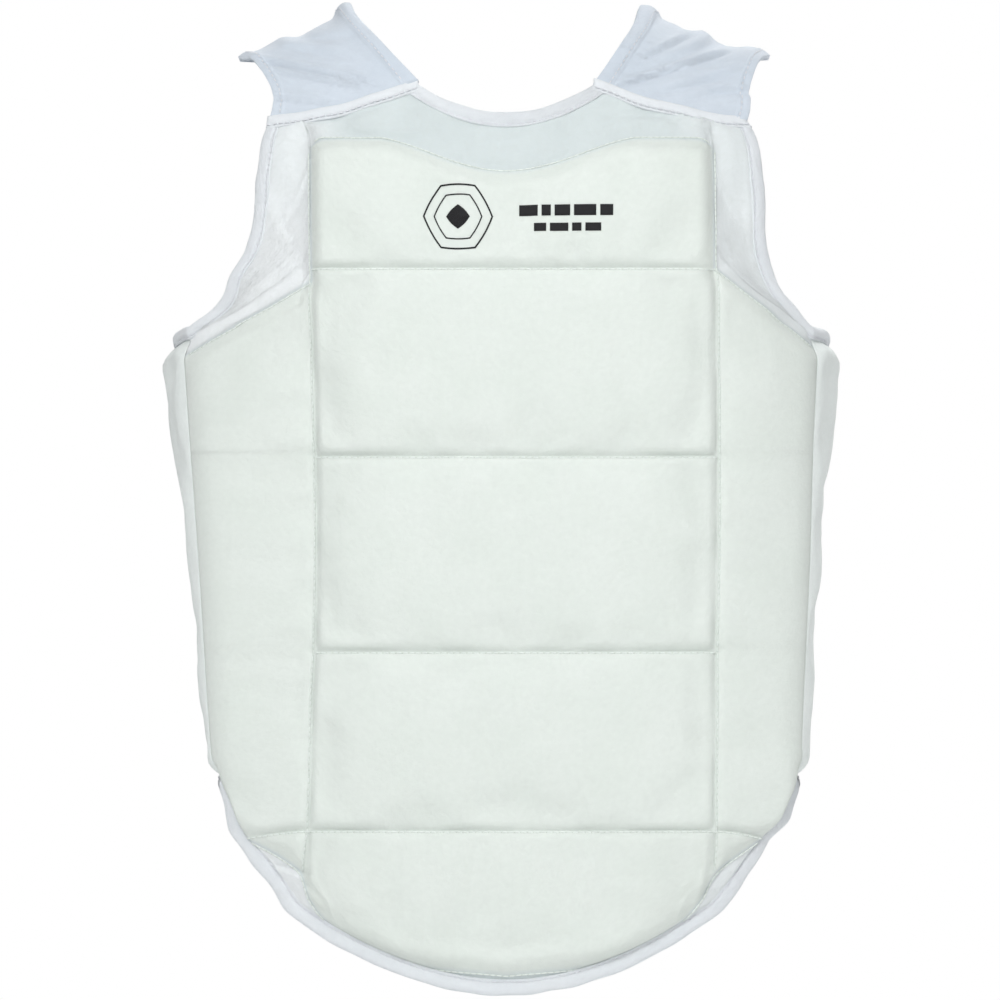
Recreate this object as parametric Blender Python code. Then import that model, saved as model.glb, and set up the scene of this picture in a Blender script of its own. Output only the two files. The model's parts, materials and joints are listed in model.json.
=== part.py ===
"""Karate body protector: a quilted foam front with side wings, stretch shoulders,
a racerback panel and elastic side straps that close with hook and loop.

Metres, +Z up. The chest faces -Y and +X is the wearer's left. The origin is the
middle of the hollow that the torso fills, level with the chest.
"""
import math

import bmesh
import bpy
from mathutils import Vector

# ---- heights above the lowest point of the hem -------------------------------------
ORIGIN_HEIGHT = 0.330
SEAM_HEIGHTS = (0.096, 0.197, 0.313, 0.422)  # quilting seams, lowest first
SIDE_SEAM_HEIGHTS = (0.096, 0.197, 0.313, 0.371)  # where the same rows meet the ridge
WING_LOW = 0.119
WING_REAR_RISE = 0.046
HEM_CORNER = 0.128  # top of the hem at the ridge
FRONT_ARM_LOW = 0.3796  # lower end of the armhole's inner edge
ARMHOLE_LOW = 0.388
WING_TOP_DROP = 0.043
CHEST_TOP = 0.400  # the front stands upright below this and curves back above it
PAD_TOP = 0.495
PAD_TOP_CENTRE = 0.476
NECK_LOW = 0.512
SEAM_AT_NECK = 0.5285
SEAM_AT_ARM = 0.507
SHOULDER_PEAK = 0.575  # of the shoulder fold, 85 mm from the middle
SHOULDER_FALL = 0.030 / 0.070
BACK_LOW = 0.200
BACK_JOIN = 0.470
BACK_NECK_LOW = 0.452
STRAP_LOW = 0.205
STRAP_HIGH = 0.265

# ---- half widths -------------------------------------------------------------------
PAD_HALF = 0.117  # vertical quilting seams
FLAT_HALF = 0.040  # the middle of the chest is flat
NECK_HALF = 0.051
NECK_INNER_HALF = 0.060
ARM_SEAM_HALF = 0.138
FOLD_NECK_HALF = 0.091
FOLD_ARM_HALF = 0.155
RIDGE_HALF = (0.1665, 0.1805)  # at the low and the high end of the ridge
WING_BULGE_HALF = (0.160, 0.192)
WING_END_HALF = 0.128
TAIL_CORNER_HALF = 0.126
TAIL_TOP_HALF = 0.1585  # outer edge of the tail at the hinge seam
TAIL_INNER_HALF = 0.1496  # inner edge of the hem there
SEAM_END_HALF = 0.1480  # where the lowest seam of the front ends
PAD_CORNER_HALF = 0.105  # start of the chest pad's rounded corner
BACK_HALF = 0.095
BACK_JOIN_HALF = (0.034, 0.088)

# ---- depths ------------------------------------------------------------------------
CHEST_DEPTH = 0.0915  # seam level of the chest, forward of the origin
RIDGE_DEPTH = (0.060, 0.041)
SIDE_POWER = 2.4
BACK_DEPTH = 0.0968
BACK_SIDE_LOSS = 0.030
WING_END_DEPTH = 0.0835
WING_TURN = 0.050
WING_LENGTH = 0.155  # along its curve, ridge to rear end

# ---- sizes of the padded rows ---------------------------------------------------------
ROW_HEIGHT = 0.105
CHEST_ROW_HEIGHT = 0.070
SIDE_ROW_WIDTH = 0.058
SIDE_ROW_HEIGHT = 0.096
TAIL_HEIGHT = 0.125

# ---- layers, measured inward from the seam level ------------------------------------
SHEET = 0.0010
PAD_RISE = 0.0085
SEAM_RISE = 0.0012
RIDGE_FILL = 0.65  # of a full pad, where the side foam ends at the ridge
FOAM_OUTER = 0.0017
FOAM_INNER = 0.0006
CORNER_DROP = 0.0022  # how much lower a foam block's rounded corners are
LINING_OUTER = 0.0014
LINING_INNER = 0.0024
BINDING_OUTER = -0.0005
BINDING_INNER = 0.0029
ELASTIC = 0.0015
GAP = 0.0004
FOLD_CLEARANCE = 0.0010  # between the bindings and the ridge, so that a wing can fold
SEAM_ROUND = 0.008  # width of the slope beside each quilting seam
FOAM_INSET = 0.0034
HEM_WIDTH = 0.009
BINDING_WIDTH = 0.008

HEM_EDGE = ((0.049, 0.126), (0.061, 0.1345), (0.096, 0.1585), (0.107, 0.163), (0.119, 0.1665))
ARMHOLE_EDGE = (
    (0.388, 0.181), (0.397, 0.171), (0.409, 0.161), (0.420, 0.157),
    (0.444, 0.149), (0.467, 0.1465), (0.490, 0.141), (0.507, 0.138),
)
COLOURS = {
    "cover": (0.76, 0.81, 0.77),
    "lining": (0.80, 0.83, 0.84),
    "foam": (0.72, 0.84, 0.70),
    "binding": (0.80, 0.85, 0.93),
    "stretch": (0.72, 0.78, 0.88),
    "elastic": (0.85, 0.86, 0.88),
    "hook": (0.55, 0.57, 0.60),
    "loop": (0.78, 0.79, 0.82),
    "label": (0.90, 0.90, 0.90),
}


def lerp(start, end, amount):
    return start + (end - start) * amount


def level(values, at):
    """Value at a fractional index of a list."""
    index = min(int(at), len(values) - 2)
    return lerp(values[index], values[index + 1], at - index)


def curve_value(knots, at):
    """Monotone cubic through (position, value) knots."""
    index = 0
    while index < len(knots) - 2 and at > knots[index + 1][0]:
        index += 1

    def secant(i):
        i = max(0, min(i, len(knots) - 2))
        return (knots[i + 1][1] - knots[i][1]) / (knots[i + 1][0] - knots[i][0])

    def slope(i):
        before, after = secant(i - 1), secant(i)
        return 0.0 if before * after <= 0 else 2 * before * after / (before + after)

    width = knots[index + 1][0] - knots[index][0]
    t = (at - knots[index][0]) / width
    low, high = knots[index][1], knots[index + 1][1]
    rise = high - low
    first, second = slope(index) * width, slope(index + 1) * width
    return low + first * t + (3 * rise - 2 * first - second) * t**2 + (first + second - 2 * rise) * t**3


# ---- the front surface --------------------------------------------------------------
def along_ridge(values, z):
    return lerp(values[0], values[1], (z - WING_LOW) / (SIDE_SEAM_HEIGHTS[3] - WING_LOW))


def shoulder_top(x):
    return SHOULDER_PEAK - (abs(x) - 0.085) * SHOULDER_FALL


def lean(x, z):
    """How much of its depth the body keeps at a height, from 1 at the chest to 0 at the fold."""
    up = max(0.0, z - CHEST_TOP) / (shoulder_top(x) - CHEST_TOP)
    return math.sqrt(max(0.0, 1 - up * up))


def chest_depth(x, z):
    z = min(z, CHEST_TOP)
    side = max(0.0, abs(x) - FLAT_HALF) / (along_ridge(RIDGE_HALF, z) - FLAT_HALF)
    return CHEST_DEPTH - (CHEST_DEPTH - along_ridge(RIDGE_DEPTH, z)) * side**SIDE_POWER


def back_depth(x, z):
    side = max(0.0, abs(x) - FLAT_HALF) / (BACK_HALF * 2 - FLAT_HALF)
    return BACK_DEPTH - BACK_SIDE_LOSS * side**SIDE_POWER


def offset_point(surface, a, b, depth, toward):
    """Point on a surface of two parameters, moved by depth to its inner side.

    toward is a point inside the body, which says which side is the inner one.
    """
    step = 1e-4
    here = surface(a, b)
    along_a = surface(a + step, b) - surface(a - step, b)
    normal = along_a.cross(surface(a, b + step) - surface(a, b - step))
    normal.normalize()
    if normal.dot(toward - here) < 0:
        normal = -normal
    return here + normal * depth


def front_surface(x, z):
    return Vector((x, -chest_depth(x, z) * lean(x, z), z - ORIGIN_HEIGHT))


def back_surface(x, z):
    return Vector((x, back_depth(x, z) * lean(x, z), z - ORIGIN_HEIGHT))


INSIDE = Vector((0, 0, -0.02))


def front_point(x, z, depth):
    return offset_point(front_surface, x, z, depth, INSIDE)


def back_point(x, z, depth):
    return offset_point(back_surface, x, z, depth, INSIDE)


# ---- the wing surface ----------------------------------------------------------------
def wing_controls(z):
    start = Vector((along_ridge(RIDGE_HALF, z), -along_ridge(RIDGE_DEPTH, z)))
    bulge = along_ridge(WING_BULGE_HALF, z)
    return (
        start,
        Vector((bulge, start.y + WING_TURN)),
        Vector((bulge, WING_END_DEPTH)),
        Vector((WING_END_HALF, WING_END_DEPTH)),
    )


def wing_surface(s, z):
    p0, p1, p2, p3 = wing_controls(z)
    t = 1 - s
    flat = p0 * t**3 + p1 * (3 * s * t * t) + p2 * (3 * s * s * t) + p3 * s**3
    return Vector((flat.x, flat.y, z - ORIGIN_HEIGHT))


def wing_point(side, s, z, depth):
    point = offset_point(wing_surface, s, z, depth, INSIDE)
    return Vector((side * point.x, point.y, point.z))


def ridge_mitre(z):
    """How far each side draws back from the ridge for each unit of depth."""
    x = along_ridge(RIDGE_HALF, z)
    step = 1e-4
    slope = (chest_depth(x - step, z) - chest_depth(x, z)) / step
    turn = wing_controls(z)[1] - wing_controls(z)[0]
    return math.tan((math.atan2(turn.y, turn.x) - math.atan(slope)) / 2)


def wing_top(s):
    return ARMHOLE_LOW - WING_TOP_DROP * s


def wing_bottom(s):
    return WING_LOW + WING_REAR_RISE * s**1.5


# ---- outlines in front view ------------------------------------------------------------
def seam_line(x):
    """Height of the seam between the yoke and the shoulder panels."""
    return lerp(SEAM_AT_NECK, SEAM_AT_ARM, (abs(x) - NECK_HALF) / (ARM_SEAM_HALF - NECK_HALF))


def neck_outer(k):
    return NECK_HALF * k, lerp(NECK_LOW, SEAM_AT_NECK, k * k)


def neck_inner(k):
    low = NECK_LOW - HEM_WIDTH
    return NECK_INNER_HALF * k, lerp(low, seam_line(NECK_INNER_HALF), k * k)


def armhole_outer(a):
    z = lerp(ARMHOLE_LOW, SEAM_AT_ARM, a**1.3)
    return curve_value(ARMHOLE_EDGE, z), z


def armhole_inner(a, inset=0.0):
    """Inner edge of the binding: level at the ridge and along the seam at the shoulder."""
    x, z = armhole_outer(a)
    before, after = armhole_outer(max(0, a - 0.02)), armhole_outer(min(1, a + 0.02))
    normal = Vector((after[1] - before[1], before[0] - after[0])).normalized()
    normal = Vector((0, 1)).lerp(normal, min(1, a / 0.15))
    seam = Vector((ARM_SEAM_HALF - NECK_HALF, SEAM_AT_ARM - SEAM_AT_NECK)).normalized()
    normal = normal.lerp(seam, max(0, (a - 0.85) / 0.15)).normalized() * (BINDING_WIDTH + inset)
    return x - normal.x, z - normal.y


def pad_top(x):
    """Upper edge of the highest foam row: dips under the neck, rounded at its corners."""
    dip = (PAD_TOP - PAD_TOP_CENTRE) * max(0, math.cos(min(1, abs(x) / 0.075) * math.pi / 2)) ** 1.5
    corner = max(0, abs(x) - PAD_CORNER_HALF) / (PAD_HALF - PAD_CORNER_HALF)
    return PAD_TOP - dip - 0.008 * corner**2


def top_edge(x):
    if abs(x) < NECK_INNER_HALF:
        return neck_inner(abs(x) / NECK_INNER_HALF)[1] - GAP
    return seam_line(x) - GAP


def side_edge(row, depth):
    """Outer edge of the front layers: hem, ridge and then armhole, by row."""
    if row >= 3.2:
        x, z = armhole_inner((row - 3.2) / 1.8, 2 * GAP)
        near_ridge = max(0, 1 - (row - 3.2) / 0.3)
        return x - ridge_mitre(SIDE_SEAM_HEIGHTS[3]) * max(0, depth) * near_ridge, z
    over = max(0, row - 3) * (FRONT_ARM_LOW - SIDE_SEAM_HEIGHTS[3]) / 0.2
    z = level(SIDE_SEAM_HEIGHTS, min(row, 3)) + over
    draw_back = GAP + ridge_mitre(z) * max(0, depth)
    if z < HEM_CORNER:
        part = (z - SIDE_SEAM_HEIGHTS[0]) / (HEM_CORNER - SIDE_SEAM_HEIGHTS[0])
        return lerp(SEAM_END_HALF, along_ridge(RIDGE_HALF, HEM_CORNER) - draw_back, part), z
    return along_ridge(RIDGE_HALF, z) - draw_back, z


def panel(column, row, depth):
    """Front-view place of a grid point.

    Columns run from -2 to 2 with the vertical seams at -1 and 1. Rows 0 to 3 are the
    quilting seams, 4 is the top of the foam and 5 the neck and shoulder edge. Rows above
    the side foam sag towards the ridge, to stay inside the hollow armhole curve.
    """
    across = min(1, abs(column))
    x = across * PAD_HALF
    z = level(SEAM_HEIGHTS + (pad_top(x), top_edge(x)), row)
    out = abs(column) - across
    if out > 0:
        edge_x, edge_z = side_edge(row, depth)
        sag = out ** (1 - 0.4 * max(0, min(1, (row - 3) / 0.3)))
        x, z = lerp(x, edge_x, out), lerp(z, edge_z, sag)
    return math.copysign(x, column), z + (GAP if row == 0 else 0)


def front_layer(depth_of):
    def point(column, row):
        depth = depth_of(column, row)
        x, z = panel(column, row, depth)
        return front_point(x, z, depth)

    return point


# ---- the tail in front view --------------------------------------------------------------
def hem_height(x):
    return 0.049 * (abs(x) / TAIL_CORNER_HALF) ** 1.95


def tail_outline(column):
    """Hem from corner to corner, as column runs from -2 to 2."""
    x = TAIL_CORNER_HALF * column / 2
    return Vector((x, hem_height(x)))


def tail_patch(column, row, inset):
    """Column -2 to 2 and row 0, at the seam, to 1, at the hem, drawn in from the edge."""
    seam_z = SEAM_HEIGHTS[0] - GAP
    high = Vector((TAIL_TOP_HALF * column / 2 * (1 - inset / TAIL_HEIGHT), seam_z))
    low = tail_outline(column)
    step = tail_outline(column + 0.01) - tail_outline(column - 0.01)
    normal = Vector((-step.y, step.x)).normalized()
    corner = Vector((-math.copysign(0.82, column), 0.57))
    normal = normal.lerp(corner, max(0, abs(column) - 1.5)).normalized()
    low += normal * inset
    return high.lerp(low, row)


# ---- building ------------------------------------------------------------------------------
def clear_scene():
    for thing in list(bpy.data.objects):
        bpy.data.objects.remove(thing, do_unlink=True)


def material(kind):
    name = f"{kind}_fabric" if kind != "foam" else "foam"
    made = bpy.data.materials.get(name)
    if made is None:
        made = bpy.data.materials.new(name)
        made.use_nodes = True
        shader = made.node_tree.nodes["Principled BSDF"]
        shader.inputs["Base Color"].default_value = (*COLOURS[kind], 1)
        shader.inputs["Roughness"].default_value = 0.9
        shader.inputs["Metallic"].default_value = 0.0
    return made


def pivot(name, location, parent=None):
    """Empty on a joint's axis, which carries the pieces that turn about it."""
    empty = bpy.data.objects.new(name, None)
    bpy.context.collection.objects.link(empty)
    empty.parent = parent
    empty.location = location - (parent.matrix_world.translation if parent else Vector())
    bpy.context.view_layer.update()
    return empty


def slab(name, columns, rows, outer, inner, kind, parent=None):
    """Closed sheet: a grid laid on the outer surface and extruded to the inner one."""
    mesh = bpy.data.meshes.new(name)
    bm = bmesh.new()
    column_of = bm.verts.layers.int.new("column")
    row_of = bm.verts.layers.int.new("row")
    bmesh.ops.create_grid(bm, x_segments=len(columns) - 1, y_segments=len(rows) - 1, size=1)
    for vert in bm.verts:
        vert[column_of] = round((vert.co.x + 1) / 2 * (len(columns) - 1))
        vert[row_of] = round((vert.co.y + 1) / 2 * (len(rows) - 1))
        vert.co = outer(columns[vert[column_of]], rows[vert[row_of]])
    grown = bmesh.ops.extrude_face_region(bm, geom=list(bm.faces))
    for vert in grown["geom"]:
        if isinstance(vert, bmesh.types.BMVert):
            vert.co = inner(columns[vert[column_of]], rows[vert[row_of]])
    bmesh.ops.recalc_face_normals(bm, faces=list(bm.faces))
    if bm.calc_volume(signed=True) < 0:
        bmesh.ops.reverse_faces(bm, faces=list(bm.faces))
    base = parent.matrix_world.translation if parent else Vector()
    bmesh.ops.translate(bm, vec=-base, verts=list(bm.verts))
    bm.to_mesh(mesh)
    bm.free()
    made = bpy.data.objects.new(name, mesh)
    made.parent = parent
    bpy.context.collection.objects.link(made)
    mesh.materials.append(material(kind))
    return made


def steps(start, end, count):
    return [lerp(start, end, i / count) for i in range(count + 1)]


def fill(at, low, high, slope, edge_high=0.0):
    """How full a pad is across one direction: empty at its two edges, full inside the slopes."""
    if at - low < slope:
        return (at - low) / slope
    if high - at < slope:
        return lerp(edge_high, 1, (high - at) / slope)
    return 1.0


def zone_rise(column, row):
    """Rise of the cover over the foam zones of the front."""
    side = abs(column) > 1
    if row > (3 if side else 4):
        return 0.0
    if side:
        across = fill(abs(column), 1, 2, SIDE_SLOPE, RIDGE_FILL)
        along = fill(row, 0, 3, ROW_SLOPE)
    else:
        low = min(int(row), 3)
        across = fill(column, -1, 1, MID_SLOPE)
        along = fill(row, low, low + 1, ROW_SLOPE if row < 3 else TOP_SLOPE)
    return lerp(SEAM_RISE, PAD_RISE, max(0, across + along - 1))


ROW_SLOPE = SEAM_ROUND / ROW_HEIGHT
TOP_SLOPE = SEAM_ROUND / CHEST_ROW_HEIGHT
SIDE_SLOPE = SEAM_ROUND / SIDE_ROW_WIDTH
MID_SLOPE = SEAM_ROUND / PAD_HALF
HALF_COLUMNS = [
    0.020 / PAD_HALF, FLAT_HALF / PAD_HALF, NECK_INNER_HALF / PAD_HALF, 0.085 / PAD_HALF,
    1 - MID_SLOPE, 1, 1 + SIDE_SLOPE, 1.35, 1.6, 2 - SIDE_SLOPE, 2,
]
COLUMNS = [-c for c in reversed(HALF_COLUMNS)] + [0] + HALF_COLUMNS
PAD_ROWS = [0, ROW_SLOPE, 0.317, 1 - ROW_SLOPE, 1, 1 + ROW_SLOPE, 2 - ROW_SLOPE, 2]
PAD_ROWS += [2 + ROW_SLOPE, 3 - ROW_SLOPE, 3]
ARM_ROWS = [3.2, 3.35, 3.5, 3.7, 4 - TOP_SLOPE, 4, 4.15, 4.4, 4.7, 5]
ROWS = PAD_ROWS + [3 + TOP_SLOPE] + ARM_ROWS


def front_sheets():
    slab("front_cover", COLUMNS, ROWS,
         front_layer(lambda c, r: -zone_rise(c, r)),
         front_layer(lambda c, r: SHEET - zone_rise(c, r)), "cover")
    slab("front_lining", COLUMNS, ROWS,
         front_layer(lambda c, r: LINING_OUTER),
         front_layer(lambda c, r: LINING_INNER), "lining")


def foam_block(name, columns, rows, column_span, row_span, sizes):
    """Foam inside one quilted zone, clear of the seams around it."""
    column_inset, row_inset = FOAM_INSET / sizes[0], FOAM_INSET / sizes[1]

    def place(column, row):
        column = max(column_span[0] + column_inset, min(column_span[1] - column_inset, column))
        row = max(row_span[0] + row_inset, min(row_span[1] - row_inset, row))
        return column, row

    def depth(column, row):
        rise = zone_rise(column, row)
        at_side = min(column - column_span[0], column_span[1] - column) < 1.01 * SEAM_ROUND / sizes[0]
        at_end = min(row - row_span[0], row_span[1] - row) < 1.01 * SEAM_ROUND / sizes[1]
        if at_side and at_end and rise > CORNER_DROP:
            rise -= CORNER_DROP
        return FOAM_OUTER - rise

    def outer(column, row):
        return front_layer(depth)(*place(column, row))

    def inner(column, row):
        return front_layer(lambda c, r: FOAM_INNER)(*place(column, row))

    slab(name, columns, rows, outer, inner, "foam")


def front_foam():
    middle = [c for c in COLUMNS if abs(c) <= 1]
    for index, name in enumerate(("foam_lower", "foam_middle", "foam_upper", "foam_chest")):
        rows = [r for r in ROWS if index <= r <= index + 1]
        size = ROW_HEIGHT if index < 3 else CHEST_ROW_HEIGHT
        foam_block(name, middle, rows, (-1, 1), (index, index + 1), (PAD_HALF, size))
    rows = [r for r in ROWS if r <= 3]
    for side, word in ((1, "left"), (-1, "right")):
        columns = [c * side for c in COLUMNS if c >= 1]
        span = (1, 2) if side > 0 else (-2, -1)
        foam_block(f"foam_side_{word}", columns, rows, span, (0, 3), (SIDE_ROW_WIDTH, SIDE_ROW_HEIGHT))


def band(name, stations, outer_edge, inner_edge, place, kind, parent=None):
    """Folded strip over an edge: a flat band between two edge curves."""
    def at(depth):
        return lambda k, across: place(*(outer_edge(k) if across else inner_edge(k)), depth)

    slab(name, stations, [0, 1], at(BINDING_OUTER), at(BINDING_INNER), kind, parent)


def front_bindings():
    neck = [c * PAD_HALF / NECK_INNER_HALF for c in COLUMNS if abs(c) * PAD_HALF <= NECK_INNER_HALF + 1e-6]
    band("neck_binding", neck, neck_outer, neck_inner, front_point, "binding")
    arm = [(row - 3.2) / 1.8 for row in ARM_ROWS]
    for side, word in ((1, "left"), (-1, "right")):
        def place(x, z, depth, side=side):
            at_ridge = x > along_ridge(RIDGE_HALF, z) - 0.002
            draw_back = FOLD_CLEARANCE + ridge_mitre(min(z, CHEST_TOP)) * max(0, depth)
            ridge_gap = draw_back if at_ridge else 0
            return front_point(side * (x - ridge_gap), z, depth)

        band(f"armhole_binding_{word}", arm, armhole_outer, armhole_inner, place, "binding")

        def hem_out(k):
            z = lerp(SEAM_HEIGHTS[0] + GAP, WING_LOW - 0.001, k)
            return curve_value(HEM_EDGE, z), z

        def hem_in(k):
            z = lerp(SEAM_HEIGHTS[0] + GAP, HEM_CORNER - 3 * FOLD_CLEARANCE, k)
            return lerp(TAIL_INNER_HALF, along_ridge(RIDGE_HALF, HEM_CORNER), k), z

        band(f"hem_side_{word}", [0, 0.5, 1], hem_out, hem_in, place, "binding")


# ---- shoulders ---------------------------------------------------------------------------
def shoulder_surface(across, turn):
    """Across from the neck to the arm; turn 0 at the yoke seam, 1 at the fold, 2 at the back join."""
    seam_x = lerp(NECK_HALF, ARM_SEAM_HALF, across)
    fold_x = lerp(FOLD_NECK_HALF, FOLD_ARM_HALF, across)
    join_x = lerp(*BACK_JOIN_HALF, across)
    end_x, end_z = (seam_x, seam_line(seam_x)) if turn <= 1 else (join_x, BACK_JOIN)
    start_angle = math.asin((end_z - CHEST_TOP) / (shoulder_top(end_x) - CHEST_TOP))
    part = turn if turn <= 1 else 2 - turn
    angle = lerp(start_angle, math.pi / 2, part)
    climb = (math.sin(angle) - math.sin(start_angle)) / (1 - math.sin(start_angle))
    x = lerp(end_x, fold_x, climb)
    if turn <= 1:
        x += across * (0.017 * (climb**3 - climb) - 0.004 * math.sin(math.pi * climb))
    depth = chest_depth(x, CHEST_TOP) if turn <= 1 else -back_depth(x, CHEST_TOP)
    height = (shoulder_top(x) - CHEST_TOP) * math.sin(angle) + CHEST_TOP
    return Vector((x, -depth * math.cos(angle), height - ORIGIN_HEIGHT))


def shoulder_point(side, across, turn, depth):
    step = 1e-4
    turn = min(max(turn, step), 2 - step)
    if turn == 1:
        point = shoulder_surface(across, 1) + Vector((-SHOULDER_FALL, 0, -1)).normalized() * depth
    else:
        point = offset_point(shoulder_surface, across, turn, depth, Vector((0.09, 0, -0.05)))
    return Vector((side * point.x, point.y, point.z))


FOLD_GAP = 0.006  # of a turn, left open at the fold


def shoulders(back_pivot):
    across = steps(0, 1, 5)
    for side, word in ((1, "left"), (-1, "right")):
        for name, turns, parent in (
            (f"shoulder_{word}", [0.012] + steps(0.2, 1 - FOLD_GAP, 5), None),
            (f"back_shoulder_{word}", steps(1 + FOLD_GAP, 1.988, 7), back_pivot),
        ):
            slab(name, across, turns,
                 lambda a, t, s=side: shoulder_point(s, a, t, 0),
                 lambda a, t, s=side: shoulder_point(s, a, t, 0.0018), "stretch", parent)

        def tape(depth, side=side):
            return lambda x, down: front_point(side * x, seam_line(x) - 0.0005 - 0.006 * down, depth)

        slab(f"shoulder_tape_{word}", steps(0.0625, 0.1285, 4), [0, 1],
             tape(-0.0012), tape(-0.0004), "binding")


# ---- tail ----------------------------------------------------------------------------------
def tail_parts(tail_pivot):
    columns = [-2, -1.84, -1.3, -0.9, -0.63, -0.3, 0, 0.3, 0.63, 0.9, 1.3, 1.84, 2]
    rows = [0, 0.09, 0.5, 0.89, 1]

    def sheet(rise, depth):
        def point(column, row):
            inner_cell = 0 < row < 1 and abs(column) < 2
            at_seam = row == 0 and abs(column) < 2
            lift = rise * (1 if inner_cell else SEAM_RISE / PAD_RISE if at_seam else 0)
            x, z = tail_patch(column, row, HEM_WIDTH + GAP)
            return front_point(x, z, depth - lift)

        return point

    slab("tail_cover", columns, rows, sheet(PAD_RISE, 0), sheet(PAD_RISE, SHEET), "cover", tail_pivot)
    slab("tail_lining", columns, rows, sheet(0, LINING_OUTER), sheet(0, LINING_INNER), "lining", tail_pivot)

    def foam(depth, edge_depth):
        def point(column, row):
            edge = row in (0, 1) or abs(column) == 2
            corner = row in (rows[1], rows[-2]) and abs(column) == columns[-2]
            far_out = 1.87 if row in (0, 1) else 1.94
            near = max(-far_out, min(far_out, column))
            row_in = (0.07, 0.91) if abs(column) == 2 else (0.03, 0.95)
            x, z = tail_patch(near, max(row_in[0], min(row_in[1], row)), HEM_WIDTH + GAP)
            drop = CORNER_DROP if corner and depth < 0 else 0
            return front_point(x, z, edge_depth if edge else depth + drop)

        return point

    slab("foam_tail", columns, rows, foam(FOAM_OUTER - PAD_RISE, -0.001), foam(FOAM_INNER, FOAM_INNER),
         "foam", tail_pivot)

    def hem(inset):
        def edge(k):
            """k from -3 to 3: down one side, along the bottom and up the other side."""
            if abs(k) <= 2:
                flat = tail_patch(k, 1, inset)
            else:
                flat = tail_patch(math.copysign(2, k), 3 - abs(k), inset)
            return flat.x, flat.y

        return edge

    stations = [-3] + columns + [3]
    band("tail_hem", stations, hem(0), hem(HEM_WIDTH), front_point, "binding", tail_pivot)


# ---- wings ---------------------------------------------------------------------------------
def wing_parts(side, word, wing_pivot):
    def place(s, v, inset, depth):
        """s along the wing, v from its lower edge to its upper edge, both drawn in by inset."""
        ridge_z = lerp(wing_bottom(0), wing_top(0), v)
        start = (GAP + ridge_mitre(min(ridge_z, SIDE_SEAM_HEIGHTS[3])) * max(0, depth)) / WING_LENGTH
        along = lerp(start, 1 - inset / WING_LENGTH, s)
        z = lerp(wing_bottom(along) + inset, wing_top(along) - inset, v)
        return wing_point(side, along, z, depth)

    def sheet(rise, depth):
        def point(s, v):
            lift = rise if 0 < v < 1 and s < 1 else 0
            if s == 0:
                lift = min(lift, rise * RIDGE_FILL)
            return place(s, v, BINDING_WIDTH + GAP, depth - lift)

        return point

    s_lines = [0, 0.055, 0.16, 0.27, 0.38, 0.48, 0.58, 0.68, 0.77, 0.86, 0.945, 1]
    v_lines = [0, 0.04, 0.35, 0.65, 0.96, 1]
    slab(f"wing_cover_{word}", s_lines, v_lines,
         sheet(PAD_RISE, 0), sheet(PAD_RISE, SHEET), "cover", wing_pivot)
    slab(f"wing_lining_{word}", s_lines, v_lines, sheet(0, LINING_OUTER), sheet(0, LINING_INNER),
         "lining", wing_pivot)

    def foam(depth, edge_depth):
        def point(s, v):
            inside = 0 < v < 1 and 0 < s < 1
            s, v = max(0.03, min(0.955, s)), max(0.02, min(0.98, v))
            return place(s, v, BINDING_WIDTH + GAP, depth if inside else edge_depth)

        return point

    slab(f"wing_foam_{word}", s_lines, v_lines,
         foam(FOAM_OUTER - PAD_RISE, -0.0015), foam(FOAM_INNER, FOAM_INNER), "foam", wing_pivot)

    def rim(inset):
        def edge(k):
            """k from 0 to 3: back along the top, down the rear end and forward along the bottom."""
            if k <= 1:
                return k, 1, inset
            if k <= 2:
                return 1, 2 - k, inset
            return 3 - k, 0, inset

        return edge

    stations = s_lines + [1.35, 1.65] + [3 - s for s in reversed(s_lines)]
    band(f"wing_binding_{word}", stations, rim(0), rim(BINDING_WIDTH), place, "binding", wing_pivot)


PATCH_S = (0.80, 0.925)


def loop_patch(side, word, wing_pivot):
    low, high = STRAP_LOW - 0.012, STRAP_HIGH + 0.022

    def at(depth):
        return lambda s, z: wing_point(side, s, z, depth - PAD_RISE)

    slab(f"loop_patch_{word}", steps(*PATCH_S, 5), [low, high],
         at(-0.0016), at(-0.0006), "loop", wing_pivot)


# ---- straps ----------------------------------------------------------------------------------
def strap_line(u, z, depth):
    """Plan of a strap from the back panel's edge, u = 0, round the wing's rear end, u = 1."""
    join = Vector((BACK_HALF + 2 * GAP, BACK_DEPTH - 0.0002, z - ORIGIN_HEIGHT))
    wing_start = 0.4
    if u >= wing_start:
        s = lerp(PATCH_S[1] + 0.02, PATCH_S[0], (u - wing_start) / (1 - wing_start))
        return wing_point(1, s, z, depth)
    on_wing = wing_point(1, PATCH_S[1] + 0.02, z, depth)
    start = join + Vector((0, -0.0045 - depth - PAD_RISE, 0))
    return start.lerp(on_wing, u / wing_start)


def strap_parts(side, word, strap_pivot):
    def at(depth):
        def point(u, z):
            flat = strap_line(u, z, depth - PAD_RISE)
            return Vector((side * flat.x, flat.y, flat.z))

        return point

    slab(f"strap_{word}", [0, 0.2] + steps(0.4, 1, 6), [STRAP_LOW, STRAP_HIGH],
         at(-0.0048), at(-0.0033), "elastic", strap_pivot)
    slab(f"hook_tab_{word}", steps(0.5, 0.97, 5), [STRAP_LOW + 0.004, STRAP_HIGH - 0.004],
         at(-0.0030), at(-0.0019), "hook", strap_pivot)


# ---- back ------------------------------------------------------------------------------------
BACK_EDGE = ((0.200, 0.095), (0.300, 0.093), (0.400, 0.064), (0.440, 0.068), (0.470, 0.088))


def back_top(x):
    inner_half = BACK_JOIN_HALF[0] + BINDING_WIDTH
    if abs(x) <= inner_half:
        return lerp(BACK_NECK_LOW - BINDING_WIDTH, BACK_JOIN, (x / inner_half) ** 2) - GAP
    return BACK_JOIN - GAP


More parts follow.
